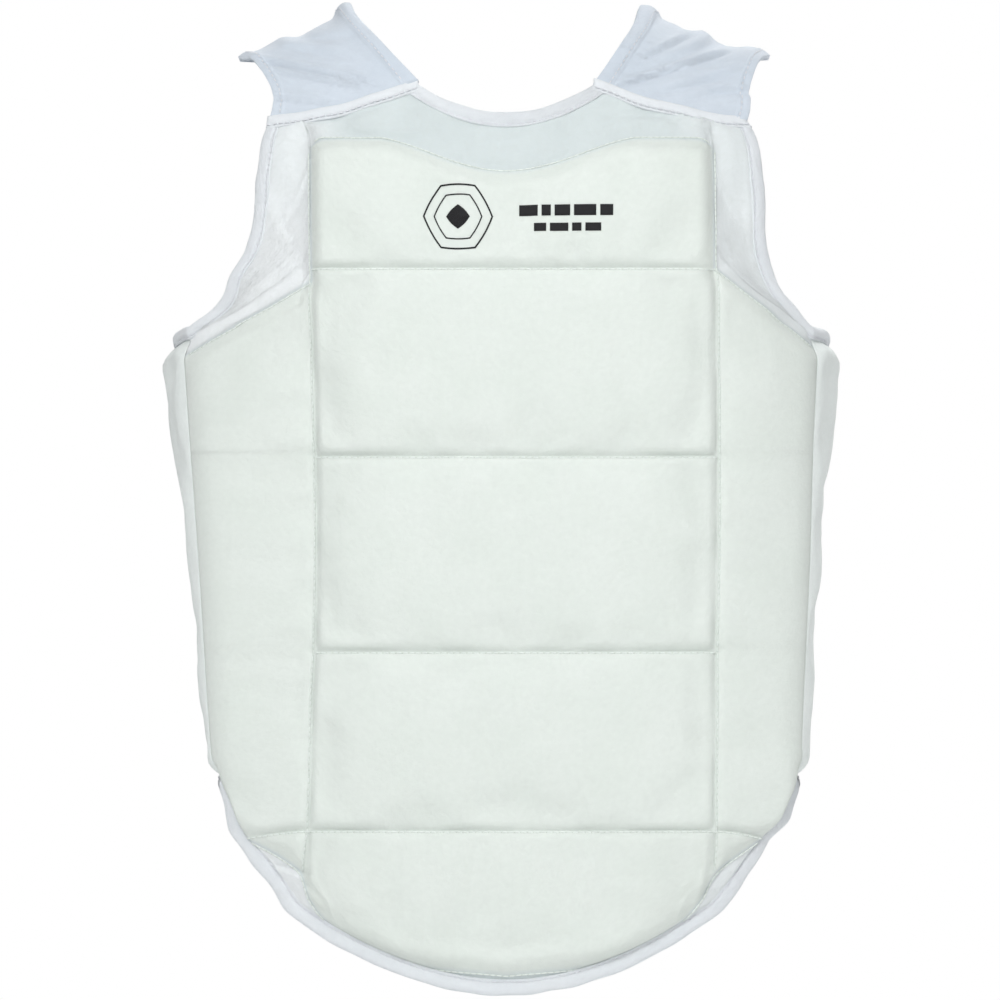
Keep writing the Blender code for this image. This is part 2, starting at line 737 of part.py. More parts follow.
def back_parts(back_pivot):
    top_half = BACK_JOIN_HALF[1] - BINDING_WIDTH - GAP
    rows = steps(0, 1, 9)
    half = [0.17, 0.34, 0.52, 0.76, 1]
    columns = [-c for c in reversed(half)] + [0] + half

    def edge(row, inset):
        z = lerp(BACK_LOW, BACK_JOIN - GAP, row)
        return curve_value(BACK_EDGE, z) - inset, z

    def panel_at(depth):
        def point(column, row):
            x_edge = edge(row, BINDING_WIDTH + GAP)[0]
            z = lerp(BACK_LOW, back_top(column * top_half), row)
            return back_point(column * x_edge, z, depth)

        return point

    slab("back_panel", columns, rows, panel_at(0), panel_at(0.0018), "stretch", back_pivot)
    neck = [c / half[2] for c in columns if abs(c) <= half[2]]

    def neck_low(k):
        x = half[2] * k * top_half
        return x, back_top(x) + GAP

    def neck_high(k):
        return BACK_JOIN_HALF[0] * k, lerp(BACK_NECK_LOW, BACK_JOIN - GAP, k * k)

    band("back_neck_binding", neck, neck_high, neck_low, back_point, "binding", back_pivot)
    for side, word in ((1, "left"), (-1, "right")):
        def place(x, z, depth, side=side):
            return back_point(side * x, z, depth)

        band(f"back_armhole_binding_{word}", rows, lambda r: edge(r, 0), lambda r: edge(r, BINDING_WIDTH),
             place, "binding", back_pivot)

    def elastic(depth):
        return lambda x, z: back_point(x, z, depth)

    slab("waist_elastic", steps(-0.0945, 0.0945, 8), [STRAP_LOW, STRAP_HIGH],
         elastic(BINDING_OUTER - GAP - ELASTIC), elastic(BINDING_OUTER - GAP), "elastic", back_pivot)
    slab("size_label", [-0.02, 0, 0.02], [0.395, 0.425],
         elastic(0.0022), elastic(0.0028), "label", back_pivot)


def build():
    clear_scene()
    front_sheets()
    front_foam()
    front_bindings()
    tail_pivot = pivot("tail_pivot", Vector((0, -CHEST_DEPTH - PAD_RISE, SEAM_HEIGHTS[0] - ORIGIN_HEIGHT)))
    tail_parts(tail_pivot)
    back_pivot = pivot("back_pivot", Vector((0, 0, SHOULDER_PEAK + 0.002 - ORIGIN_HEIGHT)))
    shoulders(back_pivot)
    back_parts(back_pivot)
    for side, word in ((1, "left"), (-1, "right")):
        z = WING_LOW
        inner = front_point(side * along_ridge(RIDGE_HALF, z), z, LINING_INNER)
        wing_pivot = pivot(f"wing_pivot_{word}", inner)
        wing_parts(side, word, wing_pivot)
        loop_patch(side, word, wing_pivot)
        hinge = Vector((side * (BACK_HALF + GAP), BACK_DEPTH + 0.003, STRAP_LOW - ORIGIN_HEIGHT))
        strap_parts(side, word, pivot(f"strap_pivot_{word}", hinge, back_pivot))


build()
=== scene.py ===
import json
from functools import partial

import bpy
import numpy as np
from numpy import arange, clip, concatenate, cos, diff, exp, hypot, interp, linspace
from numpy import maximum, minimum, pi, sin, where, zeros_like
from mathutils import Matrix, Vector
from mathutils.bvhtree import BVHTree


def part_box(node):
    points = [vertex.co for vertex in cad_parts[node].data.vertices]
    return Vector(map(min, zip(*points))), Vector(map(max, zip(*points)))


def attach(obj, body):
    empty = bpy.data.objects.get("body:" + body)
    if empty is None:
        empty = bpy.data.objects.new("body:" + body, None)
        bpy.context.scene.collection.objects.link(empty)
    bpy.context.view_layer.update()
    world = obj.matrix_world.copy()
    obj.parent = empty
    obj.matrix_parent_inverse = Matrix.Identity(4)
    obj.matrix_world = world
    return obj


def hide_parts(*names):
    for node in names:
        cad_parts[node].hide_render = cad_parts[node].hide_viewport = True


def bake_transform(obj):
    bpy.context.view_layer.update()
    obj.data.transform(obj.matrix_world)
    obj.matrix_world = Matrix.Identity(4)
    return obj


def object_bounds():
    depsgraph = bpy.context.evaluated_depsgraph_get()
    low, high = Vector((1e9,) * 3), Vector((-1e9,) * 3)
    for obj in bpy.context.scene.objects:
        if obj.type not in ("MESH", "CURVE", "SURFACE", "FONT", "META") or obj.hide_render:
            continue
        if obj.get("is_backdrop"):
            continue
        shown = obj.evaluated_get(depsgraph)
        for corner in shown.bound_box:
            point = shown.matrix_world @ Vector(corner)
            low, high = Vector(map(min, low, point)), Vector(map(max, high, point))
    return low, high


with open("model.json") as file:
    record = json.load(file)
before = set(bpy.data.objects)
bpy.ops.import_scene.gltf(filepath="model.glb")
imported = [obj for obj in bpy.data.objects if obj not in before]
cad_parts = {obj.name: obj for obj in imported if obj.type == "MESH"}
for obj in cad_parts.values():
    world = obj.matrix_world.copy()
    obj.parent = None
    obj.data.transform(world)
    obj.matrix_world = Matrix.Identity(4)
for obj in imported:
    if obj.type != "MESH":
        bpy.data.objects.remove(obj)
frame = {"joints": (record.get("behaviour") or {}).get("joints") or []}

cad_low, cad_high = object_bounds()
SIDES = ((1, "left"), (-1, "right"))


def mm(*values, of=2):
    """Rows of numbers, given in thousandths."""
    return np.array(values).reshape(-1, of) / 1000

# ---- the lie of the body, in metres; heights are above the lowest point of the hem ----
HEM = cad_low.z
INSIDE = np.array((0.0, 0.0, -0.02))
JOINTS = {joint["name"]: joint for joint in frame["joints"]}


def seam_between(lower, upper):
    """Height of the quilting seam between two foam blocks."""
    return (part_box(lower)[1].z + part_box(upper)[0].z) / 2 - HEM


SEAM_1 = JOINTS["tail_flex"]["pos_m"][2] - HEM
SEAM_2 = seam_between("foam_lower", "foam_middle") + 0.0025
SEAM_3 = seam_between("foam_middle", "foam_upper")
SEAM_4 = seam_between("foam_upper", "foam_chest")
PAD_HALF = (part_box("foam_lower")[1].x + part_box("foam_side_left")[0].x) / 2
SIDE_TOP = 0.371
WING_LOW = 0.119
WING_REAR_RISE = 0.046
HEM_CORNER = 0.128
ARMHOLE_LOW = 0.388
ARMHOLE_ROW = 3.2
WING_TOP_DROP = 0.043
CHEST_TOP = 0.4
PAD_TOP = 0.495
PAD_TOP_CENTRE = 0.476
NECK_LOW = 0.512
SEAM_AT_NECK = 0.5285
SEAM_AT_ARM = 0.507
SHOULDER_PEAK = 0.575
SHOULDER_FALL = 0.03 / 0.07
BACK_LOW = 0.2
BACK_JOIN = 0.47
BACK_NECK_LOW = 0.452
STRAP_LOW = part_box("strap_left")[0].z - HEM
STRAP_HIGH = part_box("strap_left")[1].z - HEM
FLAT_HALF = 0.04
NECK_HALF = 0.051
NECK_INNER_HALF = 0.06
ARM_SEAM_HALF = 0.138
SEAM_BOW = 1.5
FOLD_NECK_HALF = 0.091
FOLD_ARM_HALF = 0.155
RIDGE_HALF = (0.1665, 0.1805)
WING_BULGE_HALF = (0.16, 0.192)
WING_END_HALF = 0.128
TAIL_CORNER_HALF = 0.126
TAIL_TOP_HALF = 0.1495
BACK_HALF = 0.095
BACK_JOIN_HALF = (0.034, 0.088)
CHEST_DEPTH = 0.0915
RIDGE_DEPTH = (0.06, 0.041)
SIDE_POWER = 2.4
BACK_DEPTH = 0.0968
BACK_SIDE_LOSS = 0.03
WING_END_DEPTH = 0.0835
WING_TURN = 0.05
WING_LENGTH = 0.155
HEM_WIDTH = 0.0095
BINDING_WIDTH = 0.008
HEM_EDGE = mm(49, 126, 61, 134.5, 96, 158.5, 107, 163, 119, 166.5)
ARMHOLE_EDGE = mm(388, 181.2, 397, 171, 409, 161, 420, 157, 444, 149, 467, 146.5, 490, 141, 507, 138)
PAD_FOOT = mm(
    0, 12.5, 50, 17.5, 79, 28.5, 98.6, 41, 112, 56, 118.6, 70.5, 124.5, 76, 146.6, 90, 158, 96,
    172, 101
)
BACK_EDGE = mm(200, 95, 300, 93, 400, 64, 440, 68, 470, 88)

# ---- cloth and padding ----
PAD_RISE = 0.0085
EDGE_LEVEL = 0.003
SEAM_DROP = 0.0034
SEAM_ROUND = 0.0065
EDGE_ROUND = 0.0095
RIDGE_ROUND = 0.0135
RIDGE_LEVEL = 0.0042
RIDGE_BLEND = 0.01
LINING_DEPTH = 0.0024
TUCK = 0.0016
STITCH_PITCH = 0.0037
STITCH_LENGTH = 0.0028
STITCH_ASIDE = 0.0013
BAND_STITCH_SHARE = 0.19


def lerp(start, end, amount):
    return start + (end - start) * amount


def smooth(t):
    t = clip(t, 0, 1)
    return t * t * (3 - 2 * t)


def rounded(t):
    """0 at 0 and 1 from 1 on, steep at first, like cloth held down by a stitch."""
    return 1 - (1 - clip(t, 0, 1)) ** 2.2


def unit(v):
    return v / maximum(np.linalg.norm(v, axis=-1, keepdims=True), 1e-12)


def grid(first, second):
    return np.meshgrid(first, second, indexing="ij")


def stack(*parts):
    return np.stack(np.broadcast_arrays(*parts), -1)


def line_length(points):
    """Distance along a line of points, from its start."""
    return concatenate(([0], np.cumsum(np.linalg.norm(diff(points, axis=0), axis=1))))


def interp_all(at, known, points):
    """Every column of points, interpolated over their known places."""
    return np.stack([interp(at, known, column) for column in points.T], -1)


def within(value, low, high, ease):
    """1 between two limits and 0 beyond them, eased inward from both."""
    return smooth((value - low) / ease) * smooth((high - value) / ease)


def curve_value(knots, at):
    """Monotone cubic through (position, value) knots."""
    x, y = np.array(knots).T
    width = diff(x)
    secant = diff(y) / width
    slope = np.zeros(len(x))
    before, after = secant[:-1], secant[1:]
    same = before * after > 0
    slope[1:-1][same] = (2 * before * after / (before + after + 1e-12 * ~same))[same]
    slope[0], slope[-1] = secant[0], secant[-1]
    at = clip(at, x[0], x[-1])
    i = clip(np.searchsorted(x, at) - 1, 0, len(width) - 1)
    t = (at - x[i]) / width[i]
    rise = y[i + 1] - y[i]
    first, second = slope[i] * width[i], slope[i + 1] * width[i]
    return y[i] + first * t + (3 * rise - 2 * first - second) * t**2 + (first + second - 2 * rise) * t**3


def swell(u, v, size, seed, count=9):
    """Smooth irregular field, about -1 to 1, with features of one size."""
    rng = np.random.default_rng(seed)
    total = np.zeros(np.broadcast(u, v).shape)
    for _ in range(count):
        turn, shift = rng.uniform(0, 2 * pi, 2)
        wave = 2 * pi / (size * rng.uniform(0.75, 1.6))
        total += sin((u * cos(turn) + v * sin(turn)) * wave + shift)
    return total / count * 1.7

# ---- surfaces: each gives a point from two parameters, for the wearer's left ----
def along_ridge(pair, h):
    return lerp(pair[0], pair[1], (h - WING_LOW) / (SIDE_TOP - WING_LOW))


def shoulder_top(x):
    return SHOULDER_PEAK - (x - 0.085) * SHOULDER_FALL


def lean(x, h):
    up = maximum(0, h - CHEST_TOP) / (shoulder_top(x) - CHEST_TOP)
    return np.sqrt(maximum(0, 1 - up * up))


def chest_depth(x, h):
    h = minimum(h, CHEST_TOP)
    side = maximum(0, x - FLAT_HALF) / (along_ridge(RIDGE_HALF, h) - FLAT_HALF)
    return CHEST_DEPTH - (CHEST_DEPTH - along_ridge(RIDGE_DEPTH, h)) * side**SIDE_POWER


def back_depth(x):
    side = maximum(0, x - FLAT_HALF) / (BACK_HALF * 2 - FLAT_HALF)
    return BACK_DEPTH - BACK_SIDE_LOSS * side**SIDE_POWER


def front_base(x, h):
    return stack(x, -chest_depth(x, h) * lean(x, h), h + HEM)


def back_base(x, h):
    return stack(x, back_depth(x) * lean(x, h), h + HEM)


def wing_base(s, h):
    bulge = along_ridge(WING_BULGE_HALF, h)
    start_y = -along_ridge(RIDGE_DEPTH, h)
    xs = (along_ridge(RIDGE_HALF, h), bulge, bulge, WING_END_HALF)
    ys = (start_y, start_y + WING_TURN, WING_END_DEPTH, WING_END_DEPTH)
    t = 1 - s
    weights = (t**3, 3 * s * t * t, 3 * s * s * t, s**3)
    x = sum(w * p for w, p in zip(weights, xs))
    y = sum(w * p for w, p in zip(weights, ys))
    return stack(x, y, h + HEM)


def shoulder_base(across, turn):
    """Across from the neck to the arm; turn 0 at the yoke seam, 1 at the fold, 2 at the back join."""
    front = turn <= 1
    seam_x = lerp(NECK_HALF, ARM_SEAM_HALF, across)
    fold_x = lerp(FOLD_NECK_HALF, FOLD_ARM_HALF, across)
    end_x = where(front, seam_x, lerp(*BACK_JOIN_HALF, across))
    end_h = where(front, seam_line(seam_x), BACK_JOIN)
    start = np.arcsin((end_h - CHEST_TOP) / (shoulder_top(end_x) - CHEST_TOP))
    part = where(front, turn, 2 - turn)
    angle = lerp(start, pi / 2, part)
    climb = (sin(angle) - sin(start)) / (1 - sin(start))
    x = lerp(end_x, fold_x, climb)
    bow = across * (0.017 * (climb**3 - climb) - 0.004 * sin(pi * climb))
    x = where(front, x + bow, x)
    depth = where(front, chest_depth(x, CHEST_TOP), -back_depth(x))
    height = (shoulder_top(x) - CHEST_TOP) * sin(angle) + CHEST_TOP
    return stack(x, -depth * cos(angle), height + HEM)


def inward(surface, a, b, inside=INSIDE):
    """Unit normal of a surface on the side that a point inside the body lies."""
    step = 1e-4
    n = np.cross(surface(a + step, b) - surface(a - step, b), surface(a, b + step) - surface(a, b - step))
    n = unit(n)
    return n * where(((inside - surface(a, b)) * n).sum(-1, keepdims=True) < 0, -1.0, 1.0)


def ridge_inward(h):
    """Direction halfway between the front's and the wing's, where they meet."""
    h = minimum(h, ARMHOLE_LOW)
    x = along_ridge(RIDGE_HALF, h)
    return unit(inward(front_base, x, h) + inward(wing_base, zeros_like(h) + 1e-3, h))


# how far the upright seams and the edges of the front stand from their even places, by height,
# toward the wearer's left
SEAM_DRIFT = {
    1: mm(40, 0, 100, 2.6, 200, 2.9, 258, 3.8, 330, 4.2, 420, 3, 492, 2, 507, 0),
    -1: mm(
        40, -3.4, 74, 1.2, 101, 4.4, 171, 6.4, 200, 7.8, 258, 9, 310, 8.4, 386, 6.4, 429, 4.7, 492, 4.3,
        507, 0
    ),
}
EDGE_DRIFT = {
    1: mm(
        60, 0, 88, -2, 102, 3.8, 119, 3, 150, 0, 250, -1, 330, -2.8, 388, -3, 400, 0, 420, -1.6,
        449, 2.6, 470, 4, 490, 6.8, 502, 5, 507, 0
    ),
    -1: mm(
        38, -3.4, 90, -3.8, 101, -1.7, 119, 0.8, 150, 0, 250, -1, 330, -2.5, 388, -3.3, 398, -0.8,
        415, -2.9, 432, 0.6, 460, 1.2, 476, -0.6, 494, -2.3, 507, 0
    ),
}


def drift(x, h):
    ax = np.abs(x)
    edge = where(h < ARMHOLE_LOW, along_ridge(RIDGE_HALF, h), curve_value(ARMHOLE_EDGE, h) - BINDING_WIDTH)
    inside = minimum(1, ax / PAD_HALF) ** 2
    outside = smooth((ax - PAD_HALF) / (edge - PAD_HALF))
    moved = [lerp(curve_value(SEAM_DRIFT[side], h) * inside, curve_value(EDGE_DRIFT[side], h), outside)
             for side in (1, -1)]
    return where(x > 0, *moved)


def front_place(x, h, depth):
    """Point of the front at a depth below the seam level, for either side."""
    x, h, depth = np.broadcast_arrays(x, h, depth)
    side = where(x < 0, -1.0, 1.0)
    ax = np.abs(x)
    n = inward(front_base, ax, h)
    near = smooth(1 - (along_ridge(RIDGE_HALF, h) - ax) / RIDGE_BLEND)
    near = near * smooth((ARMHOLE_LOW + 0.012 - h) / 0.012) * smooth((h - 0.105) / 0.014)
    n = unit(n + (ridge_inward(h) - n) * near[..., None])
    point = front_base(ax, h) + n * depth[..., None]
    point[..., 0] = point[..., 0] * side + drift(x, h)
    return point


def back_place(x, h, depth):
    x, h, depth = np.broadcast_arrays(x, h, depth)
    side = where(x < 0, -1.0, 1.0)
    point = back_base(np.abs(x), h) + inward(back_base, np.abs(x), h) * depth[..., None]
    point[..., 0] *= side
    return point


# how far each wing stands out from the even shape, by height
WING_SPREAD = {
    1: mm(119, 7.5, 160, -3.7, 252, -7.2, 300, -3, 357, -0.5, 388, 1),
    -1: mm(119, 4, 160, -10.3, 206, -9.9, 252, -4, 300, 1.2, 333, 3.4, 357, 4.9, 388, 6),
}


def wing_place(side, along, h, depth):
    """Point of a wing at a distance behind the ridge and a depth below the seam level."""
    along, h, depth = np.broadcast_arrays(along, h, depth)
    s = along / WING_LENGTH
    n = inward(wing_base, s, h)
    near = smooth(1 - along / RIDGE_BLEND)
    n = unit(n + (ridge_inward(h) - n) * near[..., None])
    point = wing_base(s, h) + n * depth[..., None]
    spread = smooth(along / 0.045) * smooth((0.125 - along) / 0.06)
    point[..., 0] += spread * curve_value(WING_SPREAD[side], h)
    at_ridge = curve_value(EDGE_DRIFT[side], minimum(h, ARMHOLE_LOW))
    point[..., 0] = point[..., 0] * side + (1 - smooth(along / 0.03)) * at_ridge
    return point

# ---- outlines ----
def seam_line(x):
    left = clip((ARM_SEAM_HALF - np.abs(x)) / (ARM_SEAM_HALF - NECK_HALF), 0, 1.1)
    return SEAM_AT_ARM + (SEAM_AT_NECK - SEAM_AT_ARM) * left**SEAM_BOW


def neck_outer(k):
    return NECK_HALF * k, lerp(NECK_LOW, SEAM_AT_NECK, k * k)


def neck_inner(k):
    return NECK_INNER_HALF * k, lerp(NECK_LOW - 0.009, seam_line(NECK_INNER_HALF), k * k)


def armhole_outer(a):
    h = lerp(ARMHOLE_LOW, SEAM_AT_ARM, a**1.3)
    return curve_value(ARMHOLE_EDGE, h), h


def armhole_inner(a, inset=0.0):
    x, h = armhole_outer(a)
    before, after = armhole_outer(maximum(0, a - 0.02)), armhole_outer(minimum(1, a + 0.02))
    n = unit(np.stack((after[1] - before[1], before[0] - after[0]), -1))
    n = lerp(np.array((0.0, 1.0)), n, minimum(1, a / 0.15)[..., None])
    seam = unit(np.array((ARM_SEAM_HALF - NECK_HALF, SEAM_AT_ARM - SEAM_AT_NECK)))
    n = unit(lerp(n, seam, maximum(0, (a - 0.85) / 0.15)[..., None])) * (BINDING_WIDTH + inset)
    return x - n[..., 0], h - n[..., 1]


def pad_top(x):
    dip = (PAD_TOP - PAD_TOP_CENTRE) * cos(minimum(1, x / 0.075) * pi / 2).clip(0) ** 1.5
    return PAD_TOP - dip - 0.007 * (maximum(0, x - 0.108) / 0.0105) ** 2


def top_edge(x):
    ax = np.abs(x)
    inner = neck_inner(minimum(1, ax / NECK_INNER_HALF))[1]
    return where(ax < NECK_INNER_HALF, inner, seam_line(ax)) + TUCK


def hem_height(x):
    return 0.049 * (np.abs(x) / TAIL_CORNER_HALF) ** 1.95


def low_seam(x):
    """The lowest quilting seam, which sags where it nears the sides."""
    return SEAM_1 - 0.005 * smooth((np.abs(x) - PAD_HALF) / 0.042)


def side_seam(x):
    """Height of the slanting seam over each side pad, which starts lower on the wearer's right."""
    start = where(x > 0, SEAM_4, SEAM_4 - 0.0075)
    end = where(x > 0, SIDE_TOP + 0.005, SIDE_TOP)
    return lerp(start, end, (np.abs(x) - PAD_HALF) / (along_ridge(RIDGE_HALF, SIDE_TOP) - PAD_HALF))


def side_edge(row):
    """Outer edge of the front's cloth: hem, ridge and then armhole, by row."""
    x_arm, h_arm = armhole_inner(maximum(0, row - ARMHOLE_ROW) / (5 - ARMHOLE_ROW), -TUCK)
    ridge_top = ARMHOLE_LOW - BINDING_WIDTH + TUCK
    h = interp(row, (0, 1, 2, 3, ARMHOLE_ROW), (SEAM_1, SEAM_2, SEAM_3, SIDE_TOP, ridge_top))
    to_ridge = (h - SEAM_1) / (HEM_CORNER - SEAM_1)
    x = where(h < HEM_CORNER, lerp(TAIL_TOP_HALF, along_ridge(RIDGE_HALF, HEM_CORNER), to_ridge),
              along_ridge(RIDGE_HALF, h))
    return where(row > ARMHOLE_ROW, x_arm, x), where(row > ARMHOLE_ROW, h_arm, h)


def panel(column, row):
    """Front-view place of a grid point of the quilted front; rows under 0 are the tail."""
    across = minimum(1, np.abs(column))
    out = np.abs(column) - across
    x = across * PAD_HALF
    heights = stack(SEAM_1, SEAM_2, SEAM_3, SEAM_4, pad_top(x), top_edge(x))
    at = clip(row, 0, 5)
    i = minimum(at.astype(int), 4)
    low = np.take_along_axis(heights, i[..., None], -1)[..., 0]
    high = np.take_along_axis(heights, i[..., None] + 1, -1)[..., 0]
    h = lerp(low, high, at - i)
    edge_x, edge_h = side_edge(at)
    sag = out ** (1 - 0.4 * clip((at - 3) / 0.3, 0, 1))
    x, h = lerp(x, edge_x, out), lerp(h, edge_h, sag)
    on_seam = smooth(out / 0.1) * smooth((1 - out) / 0.1) * exp(-(((at - 3) / 0.3) ** 2))
    h = h + (side_seam(where(column < 0, -x, x)) - lerp(SEAM_4, SIDE_TOP, out)) * on_seam
    tail_x = minimum(x, TAIL_TOP_HALF)
    foot = 2 * tail_x / TAIL_TOP_HALF
    step = 0.01
    here_x = TAIL_CORNER_HALF * foot / 2
    rise = hem_height(here_x + step) - hem_height(maximum(0, here_x - step))
    n = unit(np.stack((-rise, here_x + step - maximum(0, here_x - step)), -1))
    n = unit(lerp(n, np.array((-0.82, 0.57)), maximum(0, foot - 1.5)[..., None])) * (HEM_WIDTH - TUCK)
    down = clip(-row, 0, 1)
    low_x, low_h = here_x + n[..., 0] * minimum(1, foot / 0.2), hem_height(here_x) + n[..., 1]
    x = where(row < 0, lerp(tail_x, low_x, down), x)
    h = where(row < 0, lerp(SEAM_1, low_h, down), h)
    h = h + (low_seam(x) - SEAM_1) * exp(-((h - SEAM_1) / 0.02) ** 2)
    return where(column < 0, -x, x), h

# ---- relief of the quilted front ----
def pad_margin(x, h):
    """Distance in from the padded area's edge, negative outside it."""
    ax = np.abs(x)
    fall = (SEAM_4 - SIDE_TOP) / (along_ridge(RIDGE_HALF, SIDE_TOP) - PAD_HALF)
    chest = minimum(pad_top(minimum(ax, PAD_HALF)) - h, PAD_HALF - ax)
    side = (side_seam(where(x > 0, 1, -1) * maximum(PAD_HALF, ax)) - h) / hypot(1, fall)
    top = maximum(chest, side)
    step = 0.001
    foot = curve_value(PAD_FOOT, ax)
    slope = (curve_value(PAD_FOOT, ax + step) - foot) / step
    return minimum(top, (h - foot) / hypot(1, slope))


def seam_distance(ax, h):
    """Distances to the quilting seams, one for each."""
    past = maximum(0, ax - PAD_HALF)
    rows = [hypot(h - seam, past) for seam in (SEAM_2, SEAM_3, SEAM_4)]
    rows.append(np.abs(h - low_seam(ax)))
    rows.append(hypot(ax - PAD_HALF, maximum(0, h - SEAM_4)))
    return rows


def crease(x, h, fold):
    """A soft fold between two points: a rounded ridge with a sharper valley beside it."""
    x0, h0, x1, h1, width, height = fold
    length = hypot(x1 - x0, h1 - h0)
    along = (x1 - x0) / length, (h1 - h0) / length
    dx, dh = x - x0, h - h0
    t = dx * along[0] + dh * along[1]
    off = (dh * along[0] - dx * along[1]) / width
    ends = smooth(t / (0.25 * length)) * smooth((length - t) / (0.25 * length))
    return height * ends * (0.8 * exp(-((off / 1.1) ** 2)) - 0.7 * exp(-(((off - 1.4) / 0.6) ** 2)))


def ridge_level(h):
    """Height of the cloth on the ridge between the front and a wing, which runs out at its ends."""
    return RIDGE_LEVEL * within(h, 0.127, 0.38, 0.012)


def front_relief(x, h):
    """Height of the cloth over the seam level."""
    ax = np.abs(x)
    margin = pad_margin(x, h)
    full = (rounded(margin / EDGE_ROUND) + smooth(margin / EDGE_ROUND)) / 2
    plump = 1.0
    groove = 1.0
    pucker = zeros_like(margin)
    for index, distance in enumerate(seam_distance(ax, h)):
        groove = groove * rounded(distance / SEAM_ROUND)
        plump = plump * smooth(distance / 0.045)
        along = x if index < 4 else h
        pull = exp(-distance / 0.011) * smooth(distance / 0.003)
        pucker += pull * swell(along, 0.2 * (x + h), 0.017, 40 + index) * 0.00035
    level = lerp(EDGE_LEVEL, PAD_RISE - 0.0006, full)
    level = level - SEAM_DROP * (1 - groove) * full + 0.0012 * plump * full
    loose = EDGE_LEVEL * exp(minimum(margin, 0) / 0.009)
    level = where(margin > 0, level, loose)
    level = level + pucker * full
    level = level + 0.00045 * swell(x, h, 0.075, 7) * smooth(margin / 0.02)
    slack = smooth(-margin / 0.004) * smooth((h - 0.36) / 0.02)
    level = level + slack * 0.00055 * swell(x * 1.2 + h * 0.6, h - x * 0.4, 0.03, 12)
    near_ridge = rounded((along_ridge(RIDGE_HALF, h) - ax) / RIDGE_ROUND)
    in_side = smooth((h - 0.11) / 0.014) * smooth((0.396 - h) / 0.012)
    level = lerp(level, lerp(ridge_level(h), level, near_ridge), in_side)
    return level + sum(crease(x, h, fold) for fold in FRONT_CREASES)


FRONT_CREASES = mm(
    -138, 74, -108, 65.5, 2.2, 2.2, -124, 71, -101, 48, 2.2, 1.6, 126, 83, 106, 56, 2.4, 1.3,
    137, 80, 120, 60, 2.2, 1, -139, 458, -121, 409, 3.2, 1.7, -142, 440, -122, 406, 2.8, 1.4,
    -152, 420, -134, 402, 3, 0.8, 124, 424, 150, 404, 2.6, 1.2, 136, 418, 160, 396, 2.6, 0.9,
    -120, 500, -66, 512, 3, 1, -100, 498, -40, 494, 3.4, -0.9, 128, 501, 94, 512, 3, 1.3,
    60, 507, 100, 505, 3, 1, 146, 425, 123, 440, 3, -0.7,
    of=6)

# ---- meshes ----
def graded(length, fine=0.001, coarse=0.0033, zone=0.011):
    """Fractions from 0 up to 1, closer together near both ends."""
    s = linspace(0, length, 600)
    gap = lerp(fine, coarse, smooth(minimum(s, length - s) / zone))
    passed = concatenate(([0], np.cumsum((1 / gap)[1:] * diff(s))))
    count = int(np.ceil(passed[-1]))
    return interp(arange(count) / count * passed[-1], passed, s) / length


def make_mesh(name, points, faces, materials=(), indices=None, uv=None, tint=None):
    """Object from numpy arrays, with smooth shading."""
    mesh = bpy.data.meshes.new(name)
    mesh.from_pydata(points.tolist(), [], faces)
    if uv is not None:
        corner = np.zeros(len(mesh.loops), np.int32)
        mesh.loops.foreach_get("vertex_index", corner)
        mesh.uv_layers.new(name="UVMap").data.foreach_set("uv", uv[corner].astype(np.float32).ravel())
    if tint is not None:
        layer = mesh.attributes.new("tint", "FLOAT", "POINT")
        layer.data.foreach_set("value", tint.astype(np.float32))
    for material in materials:
        mesh.materials.append(material)
    if indices is not None:
        mesh.polygons.foreach_set("material_index", indices)
    mesh.shade_smooth()
    made = bpy.data.objects.new(name, mesh)
    bpy.context.scene.collection.objects.link(made)
    mesh.update()
    return made


def outward(points, faces):
    """Faces of a closed mesh, all turned to face outward."""
    corners = [face[:3] for face in faces] + [[face[0], face[2], face[3]] for face in faces if len(face) == 4]
    a, b, c = (points[corner] for corner in np.array(corners).T)
    return [face[::-1] for face in faces] if (a * np.cross(b, c)).sum() < 0 else faces


def grid_faces(rows, columns):
    r, c = grid(arange(rows - 1), arange(columns - 1))
    a = (r * columns + c).ravel()
    return np.stack((a, a + 1, a + columns + 1, a + columns), -1)


def tube_faces(stations, around):
    """Faces of a tube through rings of points, with both ends capped."""
    i, j = grid(arange(stations - 1), arange(around))
    a, b = (i * around + j).ravel(), (i * around + (j + 1) % around).ravel()
    last = (stations - 1) * around
    caps = [list(range(around))[::-1], list(range(last, last + around))]
    return np.stack((a, b, b + around, a + around), -1).tolist() + caps


def arc(points, axis):
    """Distance along one axis of a grid of points, from its first line."""
    total = np.cumsum(np.linalg.norm(diff(points, axis=axis), axis=-1), axis=axis)
    pad = [(0, 0)] * total.ndim
    pad[axis] = (1, 0)
    return np.pad(total, pad)


def sheet_piece(name, outer, inner, materials, tint=None):
    """Closed sheet between two grids of points, each rows x columns x 3."""
    rows, columns = outer.shape[:2]
    count = rows * columns
    quads = grid_faces(rows, columns)
    loop = concatenate((
        arange(columns), arange(1, rows) * columns + columns - 1,
        (rows - 1) * columns + arange(columns - 2, -1, -1), arange(rows - 2, 0, -1) * columns,
    ))
    after = np.roll(loop, -1)
    rim = np.stack((after, loop, loop + count, after + count), -1)
    faces = concatenate((quads, quads[:, ::-1] + count, rim)).tolist()
    points = concatenate((outer.reshape(-1, 3), inner.reshape(-1, 3)))
    u, v = arc(outer, 1), arc(outer, 0)
    uv = np.stack((u - u[:, columns // 2][:, None], v), -1).reshape(-1, 2)
    indices = np.zeros(len(faces), np.int32)
    indices[len(quads):2 * len(quads)] = len(materials) - 1
    if tint is not None:
        tint = concatenate((tint.ravel(), tint.ravel()))
    uv = concatenate((uv, uv))
    return make_mesh(name, points, outward(points, faces), materials, indices, uv, tint)


